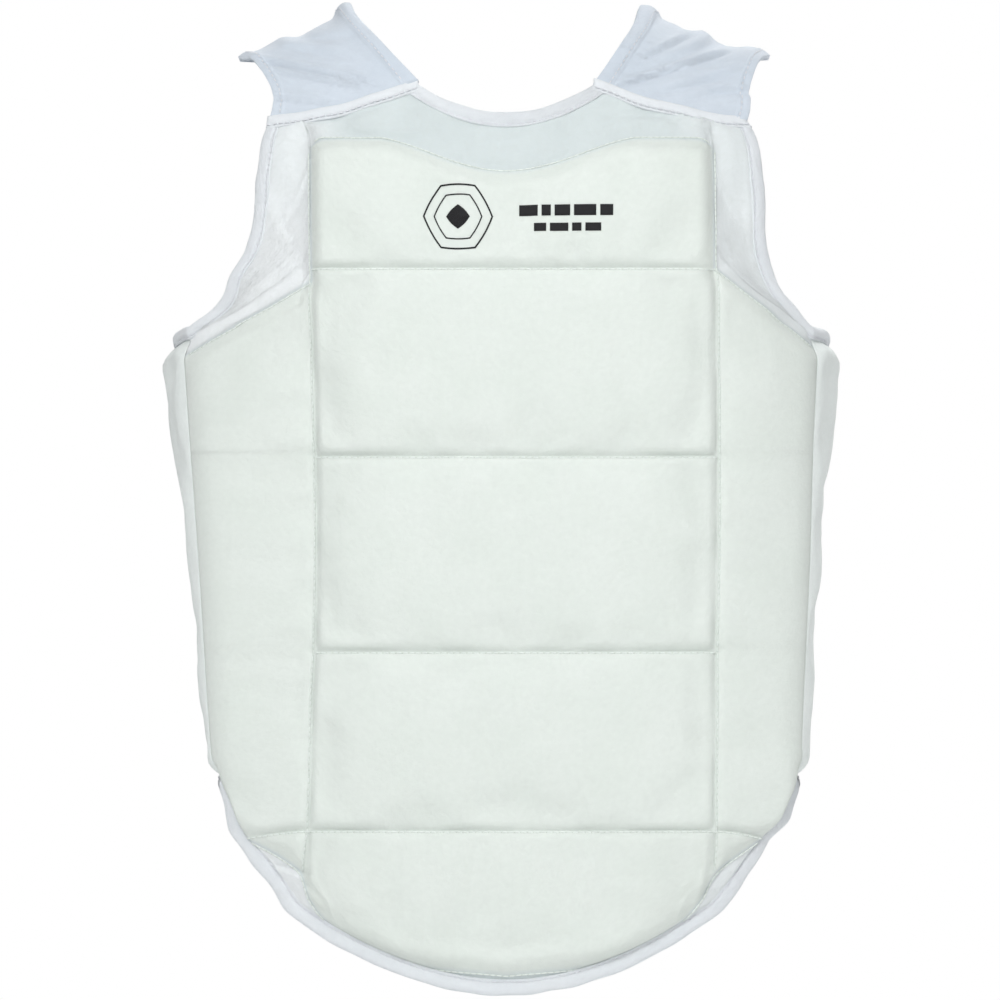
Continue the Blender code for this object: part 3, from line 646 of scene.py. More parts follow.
def tube_piece(name, rings, materials):
    """Closed tube through rings of points, stations x ring x 3."""
    points = rings.reshape(-1, 3)
    closed = concatenate((rings, rings[:, :1]), 1)
    uv = np.stack((arc(rings, 0), arc(closed, 1)[:, :-1]), -1).reshape(-1, 2)
    return make_mesh(name, points, outward(points, tube_faces(*rings.shape[:2])), materials, uv=uv)


STITCH_RINGS = ((-0.5, 0.35), (-0.38, 0.85), (0.0, 1.0), (0.38, 0.85), (0.5, 0.35))
STITCH_SIDES = 6
STITCH_FACES = tube_faces(len(STITCH_RINGS), STITCH_SIDES)
STITCH_POINTS = np.array([
    (at, size * cos(turn) / 2, size * sin(turn) / 2)
    for at, size in STITCH_RINGS for turn in 2 * pi * arange(STITCH_SIDES) / STITCH_SIDES
])


def resample(points, pitch, offset=0.5):
    """Centres and directions of even steps along a line of points, which may carry normals too."""
    far = line_length(points[:, :3])
    count = max(2, int(far[-1] / pitch))
    at = (arange(count) + offset) / count * far[-1]
    ahead, behind = minimum(at + pitch / 4, far[-1]), maximum(at - pitch / 4, 0)
    return interp_all(at, far, points), unit(interp_all(ahead, far, points) - interp_all(behind, far, points))


def stitches_piece(name, lines, material, size=(STITCH_LENGTH, 0.001, 0.001), offset=0.5):
    """Rows of stitches; each line is (points, outward normals)."""
    blocks, faces = [], []
    for line in lines:
        centre, along = resample(concatenate(line, 1), STITCH_PITCH, offset)
        centre, out = centre[:, :3], unit(centre[:, 3:])
        along = unit(along[:, :3] - out * (along[:, :3] * out).sum(-1, keepdims=True))
        axes = np.stack((along, np.cross(out, along), out), 1)
        blocks.append(((STITCH_POINTS * np.array(size)) @ axes + centre[:, None]).reshape(-1, 3))
    points = concatenate(blocks)
    for start in range(0, len(points), len(STITCH_POINTS)):
        faces.extend([v + start for v in face] for face in STITCH_FACES)
    return make_mesh(name, points, faces, [material], uv=points[:, [0, 2]])


def height_over(piece, place):
    """Function that gives how high a finished piece stands over the seam level."""
    mesh = piece.data
    tree = BVHTree.FromPolygons([v.co for v in mesh.vertices], [tuple(p.vertices) for p in mesh.polygons])
    reach = 0.025

    def height(a, h):
        start, end = place(a, h, -reach), place(a, h, 0.0)
        found = np.zeros(a.shape)
        for index in np.ndindex(found.shape):
            origin, target = Vector(start[index]), Vector(end[index])
            hit = tree.ray_cast(origin, (target - origin).normalized(), 2 * reach)
            found[index] = reach - hit[3] if hit[0] is not None else 0.0
        return found

    return height


def row_on(place, a, h, depth, over):
    """Line of stitches at a depth, with normals that point away from another depth."""
    points = place(a, h, depth)
    return points, unit(points - place(a, h, over))


def cloth_piece(name, place, a, b, depths, cloths, slot, *nodes, tint=None):
    """Sheet over a grid of parameters between two depths, with the nodes it stands for; slot is not used."""
    piece = sheet_piece(name, *(place(a, b, depth) for depth in depths), cloths, tint)
    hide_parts(*nodes)
    return piece

# ---- materials ----
def new_material(name):
    material = bpy.data.materials.new(name)
    material.use_nodes = True
    return material, material.node_tree, material.node_tree.nodes["Principled BSDF"]


def fill(tree, node, inputs):
    """Gives a shader node's inputs their numbers, colours or links."""
    for socket, value in inputs.items():
        if isinstance(value, bpy.types.NodeSocket):
            tree.links.new(value, node.inputs[socket])
        else:
            node.inputs[socket].default_value = (*value, 1) if isinstance(value, tuple) else value


def fabric(name, light, dark, pitch=0.0006, weave="plain", depth=0.00012, fuzz=0.00008,
           sheen=0.25, tinted=(), soft=(0.8, 0.93)):
    """Woven, knitted or brushed cloth; textures run in metres along the cloth."""
    material, tree, shader = new_material(name)

    def add(kind, inputs, output=0, **settings):
        made = tree.nodes.new("ShaderNode" + kind)
        for key, value in settings.items():
            setattr(made, key, value)
        fill(tree, made, inputs)
        return made.outputs[output]

    def math(operation, *values):
        return add("Math", dict(enumerate(values)), operation=operation)

    def noise(scale, detail, rough):
        return add("TexNoise", {"Scale": scale, "Detail": detail, "Roughness": rough, "Vector": uv})

    def mix(factor, first, second):
        return add("Mix", {0: factor, 6: first, 7: second}, 2, data_type="RGBA")

    def ranged(value, low, high, out_low=0.0, out_high=1.0):
        limits = {"From Min": low, "From Max": high, "To Min": out_low, "To Max": out_high}
        return add("MapRange", {"Value": value, **limits})

    def bump(height, distance, strength, under):
        inputs = {"Height": height, "Distance": distance, "Strength": strength}
        return add("Bump", inputs | ({"Normal": under} if under else {}))

    uv = add("UVMap", {}, uv_map="UVMap")
    apart = add("SeparateXYZ", {0: uv}).node.outputs
    turn = 2 * pi / pitch
    across = math("SINE", math("MULTIPLY", apart["X"], turn))
    along = math("SINE", math("MULTIPLY", apart["Y"], turn))
    if weave == "plain":
        thread = math("MULTIPLY", across, along)
    elif weave == "knit":
        bent = math("MULTIPLY", math("ABSOLUTE", along), 1.1)
        thread = math("SINE", math("ADD", math("MULTIPLY", apart["X"], turn), bent))
    elif weave == "rib":
        thread = math("ADD", along, math("MULTIPLY", across, 0.35))
    else:
        thread = math("MULTIPLY", noise(1 / pitch, 2.0, 0.7), 2.0)
    fine, broad, slub = noise(2600.0, 2.0, 0.6), noise(26.0, 3.0, 0.5), noise(260.0, 3.0, 0.6)
    patch = ranged(broad, 0.35, 0.65)
    colour = mix(patch, light, dark)
    for index, pair in enumerate(tinted):
        tint = add("Attribute", {}, "Fac", attribute_name="tint")
        colour = mix(ranged(tint, index / 2, (index + 1) / 2), colour, mix(patch, *pair))
    colour = mix(ranged(slub, 0.3, 0.7, 0.0, 0.17), colour, tuple(0.8 * c for c in dark))
    # painted shade: the colour is darker in the hollows between threads, where the weave's bump is lowest
    colour = mix(ranged(thread, -1.0, 0.6, 0.22, 0.0), colour, tuple(0.72 * c for c in dark))
    normal = bump(thread, depth, 0.9, None)
    normal = bump(fine, fuzz * 2, 0.8, normal)
    normal = bump(slub, 0.0007, 0.5, normal)
    fill(tree, shader, {
        "Base Color": colour, "Roughness": ranged(slub, 0.3, 0.7, *soft), "Normal": normal,
        "Sheen Weight": sheen, "Sheen Roughness": 0.45, "Specular IOR Level": 0.25,
    })
    return material


def plain(name, colour, roughness):
    material, tree, shader = new_material(name)
    fill(tree, shader, {"Base Color": colour, "Roughness": roughness})
    return material


COVER = fabric(
    "cover_fabric", (0.8, 0.855, 0.815), (0.775, 0.835, 0.79), 0.0007, depth=0.0001, tinted=(
        ((0.68, 0.75, 0.762), (0.65, 0.72, 0.732)), ((0.93, 0.962, 0.982), (0.9, 0.936, 0.958)),
    ))
SIDE_COVER = fabric("side_cover_fabric", (0.885, 0.938, 0.922), (0.855, 0.914, 0.896), 0.0007, depth=0.0001)
LINING = fabric("lining_fabric", (0.8, 0.83, 0.84), (0.74, 0.78, 0.8), 0.0011, "knit", 0.0002)
BINDING = fabric("binding_fabric", (0.874, 0.914, 0.946), (0.844, 0.889, 0.926), 0.0006, "knit", 0.0001,
                 sheen=0.35)
STRETCH = fabric("stretch_fabric", (0.712, 0.785, 0.868), (0.675, 0.752, 0.838), 0.0006, "knit", 0.0001,
                 sheen=0.4)
ELASTIC = fabric("elastic_web", (0.82, 0.85, 0.88), (0.76, 0.8, 0.84), 0.0016, "rib", 0.00035)
HOOK = fabric("hook_tape", (0.72, 0.74, 0.77), (0.62, 0.64, 0.68), 0.0015, depth=0.0006, sheen=0.1,
              soft=(0.45, 0.6))
LOOP = fabric("loop_tape", (0.78, 0.8, 0.83), (0.72, 0.74, 0.78), 0.0012, "brushed", 0.0006, 0.0003, 0.6)
LABEL = fabric("label_fabric", (0.86, 0.87, 0.88), (0.82, 0.83, 0.84), 0.0004, depth=0.00006, sheen=0.5)
THREAD = fabric("sewing_thread", (0.9, 0.955, 0.925), (0.87, 0.93, 0.895), 0.0005, "rib", 0.0001)
BAND_THREAD = fabric("band_thread", (0.86, 0.88, 0.92), (0.82, 0.85, 0.9), 0.0005, "rib", 0.0001)
# painted shade: dark specks that stand for the shadow inside the needle holes, not a colour of the cloth
NEEDLE_SHADE = plain("needle_hole", (0.74, 0.795, 0.75), 0.95)
PRINT = fabric("printed_ink", (0.012, 0.012, 0.014), (0.02, 0.02, 0.022), 0.0007, depth=0.00008, sheen=0.05,
               soft=(0.55, 0.7))

# ---- cloth simulation ----
SETTLE_FRAMES = 22
SLACK = 0.035
MOST_MOVED = 0.0022
CLOTH = {
    "quality": 6, "mass": 0.15, "tension_stiffness": 25, "compression_stiffness": 25, "shear_stiffness": 10,
    "bending_stiffness": 0.08, "tension_damping": 12, "compression_damping": 12, "vertex_group_mass": "hold",
    "pin_stiffness": 1.0, "shrink_min": -SLACK, "shrink_max": -SLACK,
}


def settle(points, hold):
    """Cloth simulation of a sheet sewn down over padding, a little larger than what it covers.

    Points are rows x columns x 3 and hold is 1 where a seam holds the cloth. Gives how far
    each point moved along the sheet's outward normal.
    """
    flat = points.reshape(-1, 3)
    sheet = make_mesh("settling", flat, grid_faces(*points.shape[:2]).tolist())
    group = sheet.vertex_groups.new(name="hold")
    strength = np.round(hold.ravel(), 2)
    for value in np.unique(strength):
        group.add(np.flatnonzero(strength == value).tolist(), float(value), "REPLACE")
    cloth = sheet.modifiers.new("Cloth", "CLOTH")
    for key, value in CLOTH.items():
        setattr(cloth.settings, key, value)
    cloth.settings.effector_weights.gravity = 0
    cloth.collision_settings.use_collision = False
    cloth.point_cache.frame_start = 1
    cloth.point_cache.frame_end = SETTLE_FRAMES
    scene = bpy.context.scene
    for frame_number in range(1, SETTLE_FRAMES + 1):
        scene.frame_set(frame_number)
    settled = sheet.evaluated_get(bpy.context.evaluated_depsgraph_get())
    place, normal = np.zeros(flat.size), np.zeros(flat.size)
    settled.data.vertices.foreach_get("co", place)
    sheet.data.vertices.foreach_get("normal", normal)
    normal = normal.reshape(-1, 3)
    moved = ((place.reshape(-1, 3) - flat) * normal).sum(-1)
    bpy.data.objects.remove(sheet, do_unlink=True)
    scene.frame_set(1)
    moved = (moved * np.sign((normal * (flat - INSIDE)).sum(-1))).reshape(hold.shape)
    return MOST_MOVED * np.tanh(moved / MOST_MOVED)


def spread_over(values, from_rows, from_columns, to_rows, to_columns):
    """Values of a coarse grid at the lines of a finer one."""
    wide = interp_all(to_columns, from_columns, interp_all(to_rows, from_rows, values).T).T
    for axis in (0, 1):
        wide = (np.roll(wide, 1, axis) + 2 * wide + np.roll(wide, -1, axis)) / 4
    return wide

# ---- quilted front ----
SIDE_WIDTH = 0.058
middle = 2 * graded(2 * PAD_HALF) - 1
side_steps = graded(SIDE_WIDTH)
columns = concatenate((-2 + side_steps, middle, 1 + side_steps, [2]))
rows = [graded(SEAM_1) - 1]
for index, length in enumerate((SEAM_2 - SEAM_1, SEAM_3 - SEAM_2, SEAM_4 - SEAM_3, PAD_TOP - SEAM_4)):
    rows.append(index + graded(length))
rows.append(4 + graded(SEAM_AT_NECK - PAD_TOP, fine=0.0012, coarse=0.002))
rows = concatenate((*rows, [5]))
grid_row, grid_column = grid(rows, columns)
front_x, front_h = panel(grid_column, grid_row)
front_level = front_relief(front_x, front_h)
coarse_rows = concatenate([linspace(low, low + 1, count, endpoint=False) for low, count in
                           ((-1, 24), (0, 25), (1, 29), (2, 27), (3, 18), (4, 8))] + [[5]])
coarse_columns = concatenate((
    linspace(-2, -1, 15, endpoint=False), linspace(-1, 1, 58, endpoint=False), linspace(1, 2, 16),
))
sim_row, sim_column = grid(coarse_rows, coarse_columns)
sim_x, sim_h = panel(sim_column, sim_row)
sim_margin = pad_margin(sim_x, sim_h)
near_seam = minimum(np.min(seam_distance(np.abs(sim_x), sim_h), 0), np.abs(sim_margin))
sim_hold = maximum(where(sim_margin > 0, 0.06, 0.14), 1 - smooth((near_seam - 0.0015) / 0.004))
sim_hold[[0, -1]] = 1
sim_hold[:, [0, 1, -2, -1]] = 1
sim_moved = settle(front_place(sim_x, sim_h, -front_relief(sim_x, sim_h)), sim_hold)
calm = 1 - 0.65 * smooth((np.abs(front_x) - PAD_HALF - 0.003) / 0.012)
front_level = front_level + calm * spread_over(sim_moved, coarse_rows, coarse_columns, rows, columns)
border = minimum(minimum(grid_row + 1, 5 - grid_row) * 0.05, (2 - np.abs(grid_column)) * SIDE_WIDTH)
at_border = 1 - smooth(border / 0.004)
on_ridge = within(front_h, 0.127, 0.381, 0.006)
flat_edge = at_border * (1 - on_ridge * (np.abs(grid_column) > 1.5))
front_level = lerp(front_level, -0.0006, flat_edge)
lining = lerp(LINING_DEPTH, 0.002, flat_edge) + 0.0005 * swell(front_x, front_h, 0.04, 3) * (1 - at_border)
yoke = smooth(0.5 - pad_margin(front_x, front_h) / 0.004)
# tint of the yoke and of the bright gussets beside it, fading a little above 0.43 m; the gusset on the
# wearer's left (x > 0) is held to 0.72 of its tint, painted shade for the side turned away from the light
gusset_and_shaded_side = smooth((np.abs(front_x) - 0.09) / 0.028) * where(front_x > 0, 0.72, 1.0)
yoke = yoke * (0.5 + 0.5 * gusset_and_shaded_side * (1 - 0.3 * smooth((front_h - 0.43) / 0.06)))
quilted_front = cloth_piece(
    "quilted_front", front_place, front_x, front_h, (-front_level, lining), [COVER, LINING], "cover_fabric",
    "front_cover", "front_lining", "foam_chest", "foam_upper", "foam_middle", "foam_lower", "foam_side_left",
    "foam_side_right", "tail_cover", "tail_lining", "foam_tail", tint=yoke,
)
front_height = height_over(quilted_front, front_place)
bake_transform(quilted_front)

# ---- bands over the edges ----
# a band's section: share of its width and depth, out over the front and back behind
BAND_SECTION = mm(
    0, 0.4, 15, -0.6, 60, -1.1, 130, -0.9, 190, -0.3, 250, -1, 400, -1.4, 620, -1.5, 820, -1.2, 930, -0.6,
    985, 0.4, 1000, 1.2, 985, 2.1, 920, 2.9, 700, 3.4, 350, 3.4, 80, 3.2, 0, 2.6
)


def band_piece(name, outer, inner, place, seed, wave=0.0004):
    """Folded strip over an edge, between an outer and an inner line of parameters."""
    outer, inner = stack(*outer), stack(*inner)
    far = line_length(outer)
    across, depth = BAND_SECTION.T[:, None]
    taper = within(far, 0, far[-1], 0.004)[:, None]
    push = wave * swell(far, far * 0, 0.022, seed)[:, None] * across * taper
    at = across + push / np.linalg.norm(outer - inner, axis=1)[:, None]
    ab = inner[:, None] + (outer - inner)[:, None] * at[..., None]
    depth = depth + 0.00025 * swell(far[:, None], 0.3 * across, 0.012, seed + 1)
    band = tube_piece(name, place(ab[..., 0], ab[..., 1], depth), [BINDING])
    return band


def band_stitches(outer, inner, place):
    x, h = (lerp(inner[i], outer[i], BAND_STITCH_SHARE) for i in (0, 1))
    return row_on(place, x, h, -0.0006, 0.0004)


def bind(name, lines, place, seed, rows, body):
    """A band that rides on one body, and its row of stitches."""
    band = band_piece(name, *lines, place, seed)
    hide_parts(name.replace("band", "binding"))
    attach(band, body)
    rows.append(band_stitches(*lines, place))


def mirror(side, *lines):
    return [(side * x, h) for x, h in lines]


band_lines = []
k = linspace(-1, 1, 70)
a = linspace(0, 1, 80)
bind("neck_band", (neck_outer(k), neck_inner(k)), front_place, 101, band_lines, "front")
for side, word in SIDES:
    armhole = mirror(side, armhole_outer(a), armhole_inner(a))
    bind(f"armhole_band_{word}", armhole, front_place, 110 + side, band_lines, "front")


def evenly(points, pitch):
    far = line_length(points)
    at = linspace(0, far[-1], int(far[-1] / pitch) + 1)
    return interp_all(at, far, points), at


def eased(points, window):
    """The line with its corners rounded, its ends kept."""
    kernel = np.hanning(window + 2)[1:-1]
    kernel /= kernel.sum()
    half = window // 2
    start, end = 2 * points[0] - points[1:half + 1][::-1], 2 * points[-1] - points[-half - 1:-1][::-1]
    full = concatenate((start, points, end))
    return np.stack([np.convolve(full[:, i], kernel, "valid") for i in range(2)], -1)


def edge_line(line, window, toward, level, width):
    """Outer and inner line of a band whose ends lie level, with rounded corners."""
    line, _ = evenly(line, 0.001)
    line, far = evenly(eased(line, window), 0.0024)
    step = np.gradient(line, axis=0)
    n = unit(np.stack((-step[:, 1], step[:, 0]), -1))
    n = n * where(((np.array(toward) - line) * n).sum(-1, keepdims=True) < 0, -1.0, 1.0)
    end = minimum(far, far[-1] - far)
    n = unit(lerp(n, level(line), smooth(1 - end / 0.016)[:, None]))
    return tuple(line.T), tuple((line + n * width).T)


edge_h = linspace(WING_LOW - 0.001, HEM_EDGE[0][0], 60)[:-1]
edge_x = curve_value(HEM_EDGE, edge_h)
foot_x = linspace(-TAIL_CORNER_HALF, TAIL_CORNER_HALF, 160)
hem_line = concatenate((
    stack(-edge_x, edge_h), stack(foot_x, hem_height(foot_x)), stack(edge_x, edge_h)[::-1],
))
hem_lines = edge_line(hem_line, 13, (0.0, 0.2), lambda line: np.array((0.0, 1.0)), HEM_WIDTH)
hem = band_piece("hem_band", *hem_lines, front_place, 130, wave=0.0007)
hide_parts("tail_hem", "hem_side_left", "hem_side_right")
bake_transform(hem)
band_lines.append(band_stitches(*hem_lines, front_place))

# ---- stitching and print on the front ----
pad_lines = []


def sew(x, h):
    """Adds a row of stitches over the pads, 0.3 mm above the cloth."""
    x, h = np.broadcast_arrays(x, h)
    level = front_height(x, h) + 0.0003
    pad_lines.append(row_on(front_place, x, h, -level, 0.001 - level))


line = linspace(-PAD_HALF, PAD_HALF, 160)
for seam in (SEAM_2, SEAM_3, SEAM_4):
    sew(line, seam - STITCH_ASIDE)
line = linspace(-0.15, 0.15, 220)
sew(line, low_seam(line) - STITCH_ASIDE)
for side in (1, -1):
    sew(side * (PAD_HALF + STITCH_ASIDE), linspace(0.072, SEAM_4, 240))
    sew(side * (PAD_HALF + STITCH_ASIDE), linspace(SEAM_4, PAD_TOP - 0.008, 40))
    line = side * linspace(PAD_HALF, along_ridge(RIDGE_HALF, SIDE_TOP) - 0.002, 50)
    sew(line, side_seam(line) - STITCH_ASIDE)
line = linspace(-PAD_HALF + 0.002, PAD_HALF - 0.002, 160)
sew(line, pad_top(np.abs(line)) + STITCH_ASIDE)
line = linspace(-0.148, 0.148, 260)
sew(line, curve_value(PAD_FOOT, np.abs(line)) - STITCH_ASIDE)
for name, lines, *look in (
    ("stitches_front", pad_lines, THREAD),
    # painted shade: dark specks between the stitches, in place of the shadow in the needle holes
    ("needle_holes", pad_lines, NEEDLE_SHADE, (0.001, 0.0009, 0.0004), 1.0),
    ("stitches_bands", band_lines, BAND_THREAD),
):
    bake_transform(stitches_piece(name, lines, *look))


def print_piece(name, x, h):
    """Thin film of ink on the chest, from a grid of front-view points."""
    level = front_height(x, h)
    top, under = (front_place(x, h, -level - over) for over in (0.00025, 0.00002))
    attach(sheet_piece(name, top, under, [PRINT]), "front")


EMBLEM = (-0.028, 0.45)
ring_turn, ring_across = grid(linspace(0, 2 * pi, 97), linspace(0, 1, 4))


def polygon_radius(turn, corners, radius, softness=0.3):
    """Radius of a polygon with rounded corners."""
    part = (turn % (2 * pi / corners)) - pi / corners
    return radius * lerp(cos(pi / corners) / cos(part), 1.0, softness)


for index, (low, high, corners) in enumerate(((0.0196, 0.0206, 6), (0.0136, 0.0144, 6), (0.0, 0.007, 4))):
    radius = polygon_radius(ring_turn, corners, lerp(low, high, ring_across))
    across, up = radius * cos(ring_turn), radius * sin(ring_turn)
    print_piece(f"print_mark_{index}", EMBLEM[0] + across, EMBLEM[1] + up)
PRINT_GAP = 0.0022
for index, (start, width, height, middle_h, parts) in enumerate((
    (0.0075, 0.053, 0.0062, 0.4535, (6, 3, 5, 7, 4)), (0.016, 0.038, 0.0046, 0.444, (4, 6, 3, 5)),
)):
    scale = (width - PRINT_GAP * (len(parts) - 1)) / sum(parts)
    for number, part in enumerate(parts):
        at = linspace(start, start + part * scale, 8)
        print_piece(f"print_block_{index}_{number}",
                    *np.meshgrid(at, linspace(-height / 2, height / 2, 4) + middle_h))
        start += part * scale + PRINT_GAP

# ---- wings ----
WING_INSET = BINDING_WIDTH - TUCK


def wing_top(along):
    return ARMHOLE_LOW - WING_TOP_DROP * (along / WING_LENGTH) ** 1.7


def wing_bottom(along):
    return WING_LOW + WING_REAR_RISE * (along / WING_LENGTH) ** 1.5


def wing_point(share_h, share_along):
    """Distance behind the ridge and height, from shares of the wing's cloth."""
    along = share_along * (WING_LENGTH - WING_INSET)
    return along, lerp(wing_bottom(along) + WING_INSET, wing_top(along) - WING_INSET, share_h)


def wing_relief(side, along, h):
    edge = minimum(minimum(wing_top(along) - h, h - wing_bottom(along)), WING_LENGTH - along)
    full = rounded((edge - BINDING_WIDTH) / 0.011)
    level = lerp(0.0004, PAD_RISE - 0.0004, full) + 0.001 * smooth((edge - 0.01) / 0.04)
    level = lerp(ridge_level(h), level, rounded(along / RIDGE_ROUND))
    loose = smooth((edge - BINDING_WIDTH) / 0.02) * smooth(along / 0.012)
    level = level + loose * 0.0007 * swell(along * 1.6, h * 0.7, 0.045, 21 + side)
    return level + loose * 0.0005 * swell(along + 0.7 * h, 0.2 * h, 0.016, 25 + side) * exp(-edge / 0.03)


# the outer line of a wing's binding: back along the top, down the rear end, forward along the bottom
along = linspace(0, WING_LENGTH, 120)
down = linspace(wing_top(WING_LENGTH), wing_bottom(WING_LENGTH), 120)[1:-1]
wing_rim = edge_line(
    concatenate((
        stack(along, wing_top(along)), stack(WING_LENGTH, down), stack(along, wing_bottom(along))[::-1],
    )), 21, (0.05, 0.26), lambda line: stack(0.0, where(line[:, 1] > 0.26, -1.0, 1.0)), BINDING_WIDTH,
)
share_s = concatenate((graded(WING_LENGTH), [1]))
share_v = concatenate((graded(0.26, coarse=0.0036), [1]))
v, s = grid(share_v, share_s)
along, h = wing_point(v, s)
rear = minimum(minimum(v, 1 - v) * 0.2, (1 - s) * WING_LENGTH)
for side, word in SIDES:
    place = partial(wing_place, side)
    level = wing_relief(side, along, h)
    coarse_v, coarse_s = linspace(0, 1, 64), linspace(0, 1, 40)
    sim_v, sim_s = grid(coarse_v, coarse_s)
    sim_along, sim_h = wing_point(sim_v, sim_s)
    edge = minimum(minimum(sim_v, 1 - sim_v) * 0.23, minimum(sim_s, 1 - sim_s) * WING_LENGTH)
    sim_hold = maximum(0.05, 1 - smooth((edge - 0.002) / 0.005))
    sim_moved = settle(place(sim_along, sim_h, -wing_relief(side, sim_along, sim_h)), sim_hold)
    level = level + spread_over(sim_moved, coarse_v, coarse_s, share_v, share_s)
    level = lerp(level, -0.0006, 1 - smooth(rear / 0.003))
    inner = LINING_DEPTH - 0.0004 * (1 - smooth(rear / 0.003))
    wing = cloth_piece(f"wing_pad_{word}", place, along, h, (-level, inner), [SIDE_COVER, LINING],
                       "cover_fabric", f"wing_cover_{word}", f"wing_lining_{word}", f"wing_foam_{word}")
    axis = unit(np.array(JOINTS[f"{word}_wing_fold"]["axis"]))
    back_way = place(0.03, 0.25, 0.0) - place(0.0, 0.25, 0.0)
    back_way = unit(back_way - axis * (back_way @ axis))
    start = place(0.0, 0.25, -RIDGE_LEVEL) + 0.001 * back_way
    rim = band_piece(f"wing_band_{word}", *wing_rim, place, 140 + side)
    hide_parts(f"wing_binding_{word}")
    rim_stitches = stitches_piece(f"stitches_wing_{word}", [band_stitches(*wing_rim, place)], BAND_THREAD)
    for piece in (wing, rim, rim_stitches):
        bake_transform(piece)
    # the patch that the strap closes on
    patch_h, patch_s = grid(linspace(STRAP_LOW - 0.012, STRAP_HIGH + 0.022, 40),
                            linspace(0.8 * WING_LENGTH, 0.925 * WING_LENGTH, 16))
    lift = maximum(wing_relief(side, patch_s, patch_h), PAD_RISE - 0.002)
    patch = cloth_piece(f"loop_patch_piece_{word}", place, patch_s, patch_h, (-lift - 0.0016, -lift + 0.0004),
                        [LOOP], "loop_tape", f"loop_patch_{word}")
    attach(patch, f"{word}_wing")

# ---- shoulders ----
SHOULDER_HEMS = (0.0095, 0.0075)
SHOULDER_WIDTHS = (0.087, 0.064)
HEM_STITCH = 0.0022
# outlines of the shoulders in front view, (share, half width, height): neck edge, arm edge and top fold
SHOULDER_NECK = {
    1: mm(0, 50.7, 528.5, 300, 57.8, 538.5, 570, 66.7, 552, 850, 74.1, 564, 1000, 77.5, 574.2, of=3),
    -1: mm(0, 50.7, 530, 450, 70.6, 551.2, 890, 87.8, 570.5, 1000, 89.6, 574.8, of=3),
}
SHOULDER_ARM = {
    1: mm(
        0, 139.6, 506.6, 200, 141.5, 514.2, 350, 141.7, 520.1, 430, 140.8, 523.1, 500, 141.2, 526,
        630, 143.7, 534.5, 780, 147, 541.8, 900, 150, 544.7, 1000, 153.6, 545,
        of=3),
    -1: mm(
        0, 137.2, 507, 150, 135.2, 515, 270, 134.7, 520.8, 380, 135.8, 525.3, 530, 138.7, 531.2,
        720, 143.4, 538.4, 880, 149.5, 544.2, 1000, 155.8, 544.3,
        of=3),
}
SHOULDER_TOP = {
    1: mm(
        0, 77.5, 574.2, 50, 80, 575.2, 110, 86.2, 571.5, 150, 88.5, 569, 280, 97.8, 564.5,
        400, 107.4, 560, 470, 114.1, 560.8, 530, 118.6, 557.7, 590, 123, 553.8, 700, 132.6, 550.8,
        780, 139.5, 551.4, 860, 145, 550.6, 940, 150.3, 547.7, 1000, 153.6, 545,
        of=3),
    -1: mm(
        0, 89.6, 574.8, 50, 92, 576.8, 100, 96.2, 574, 160, 99.2, 569, 330, 110.6, 562, 500, 122.2, 556,
        640, 131.3, 555.3, 800, 143.2, 549.7, 930, 152.2, 546.8, 1000, 155.8, 544.3,
        of=3),
}
SHOULDER_CREASES = {
    1: mm(
        111, 561, 74, 543, 1.7, 2.4, 139, 552.6, 56, 525.4, 1.5, 3.2, 140, 540.8, 82, 525, 2.8, 2.4,
        112, 524.7, 145, 523.6, 1.8, -2.2, 122, 558, 88, 543, 2.6, 2, 132, 530, 98, 520, 2.6, 1.5,
        of=6),
    -1: mm(
        156, 547.5, 64, 527.8, 1.8, 2.6, 139, 538.5, 74, 526, 1.6, 2.2, 141, 523.5, 94, 518.5, 2.2, 2,
        138, 556, 90, 547, 3, 1.9, 125, 557, 84, 561, 3, 1.4,
        of=6),
}


def outline_point(knots, share):
    return np.stack([curve_value(knots[:, [0, i]], share) for i in (1, 2)], -1)


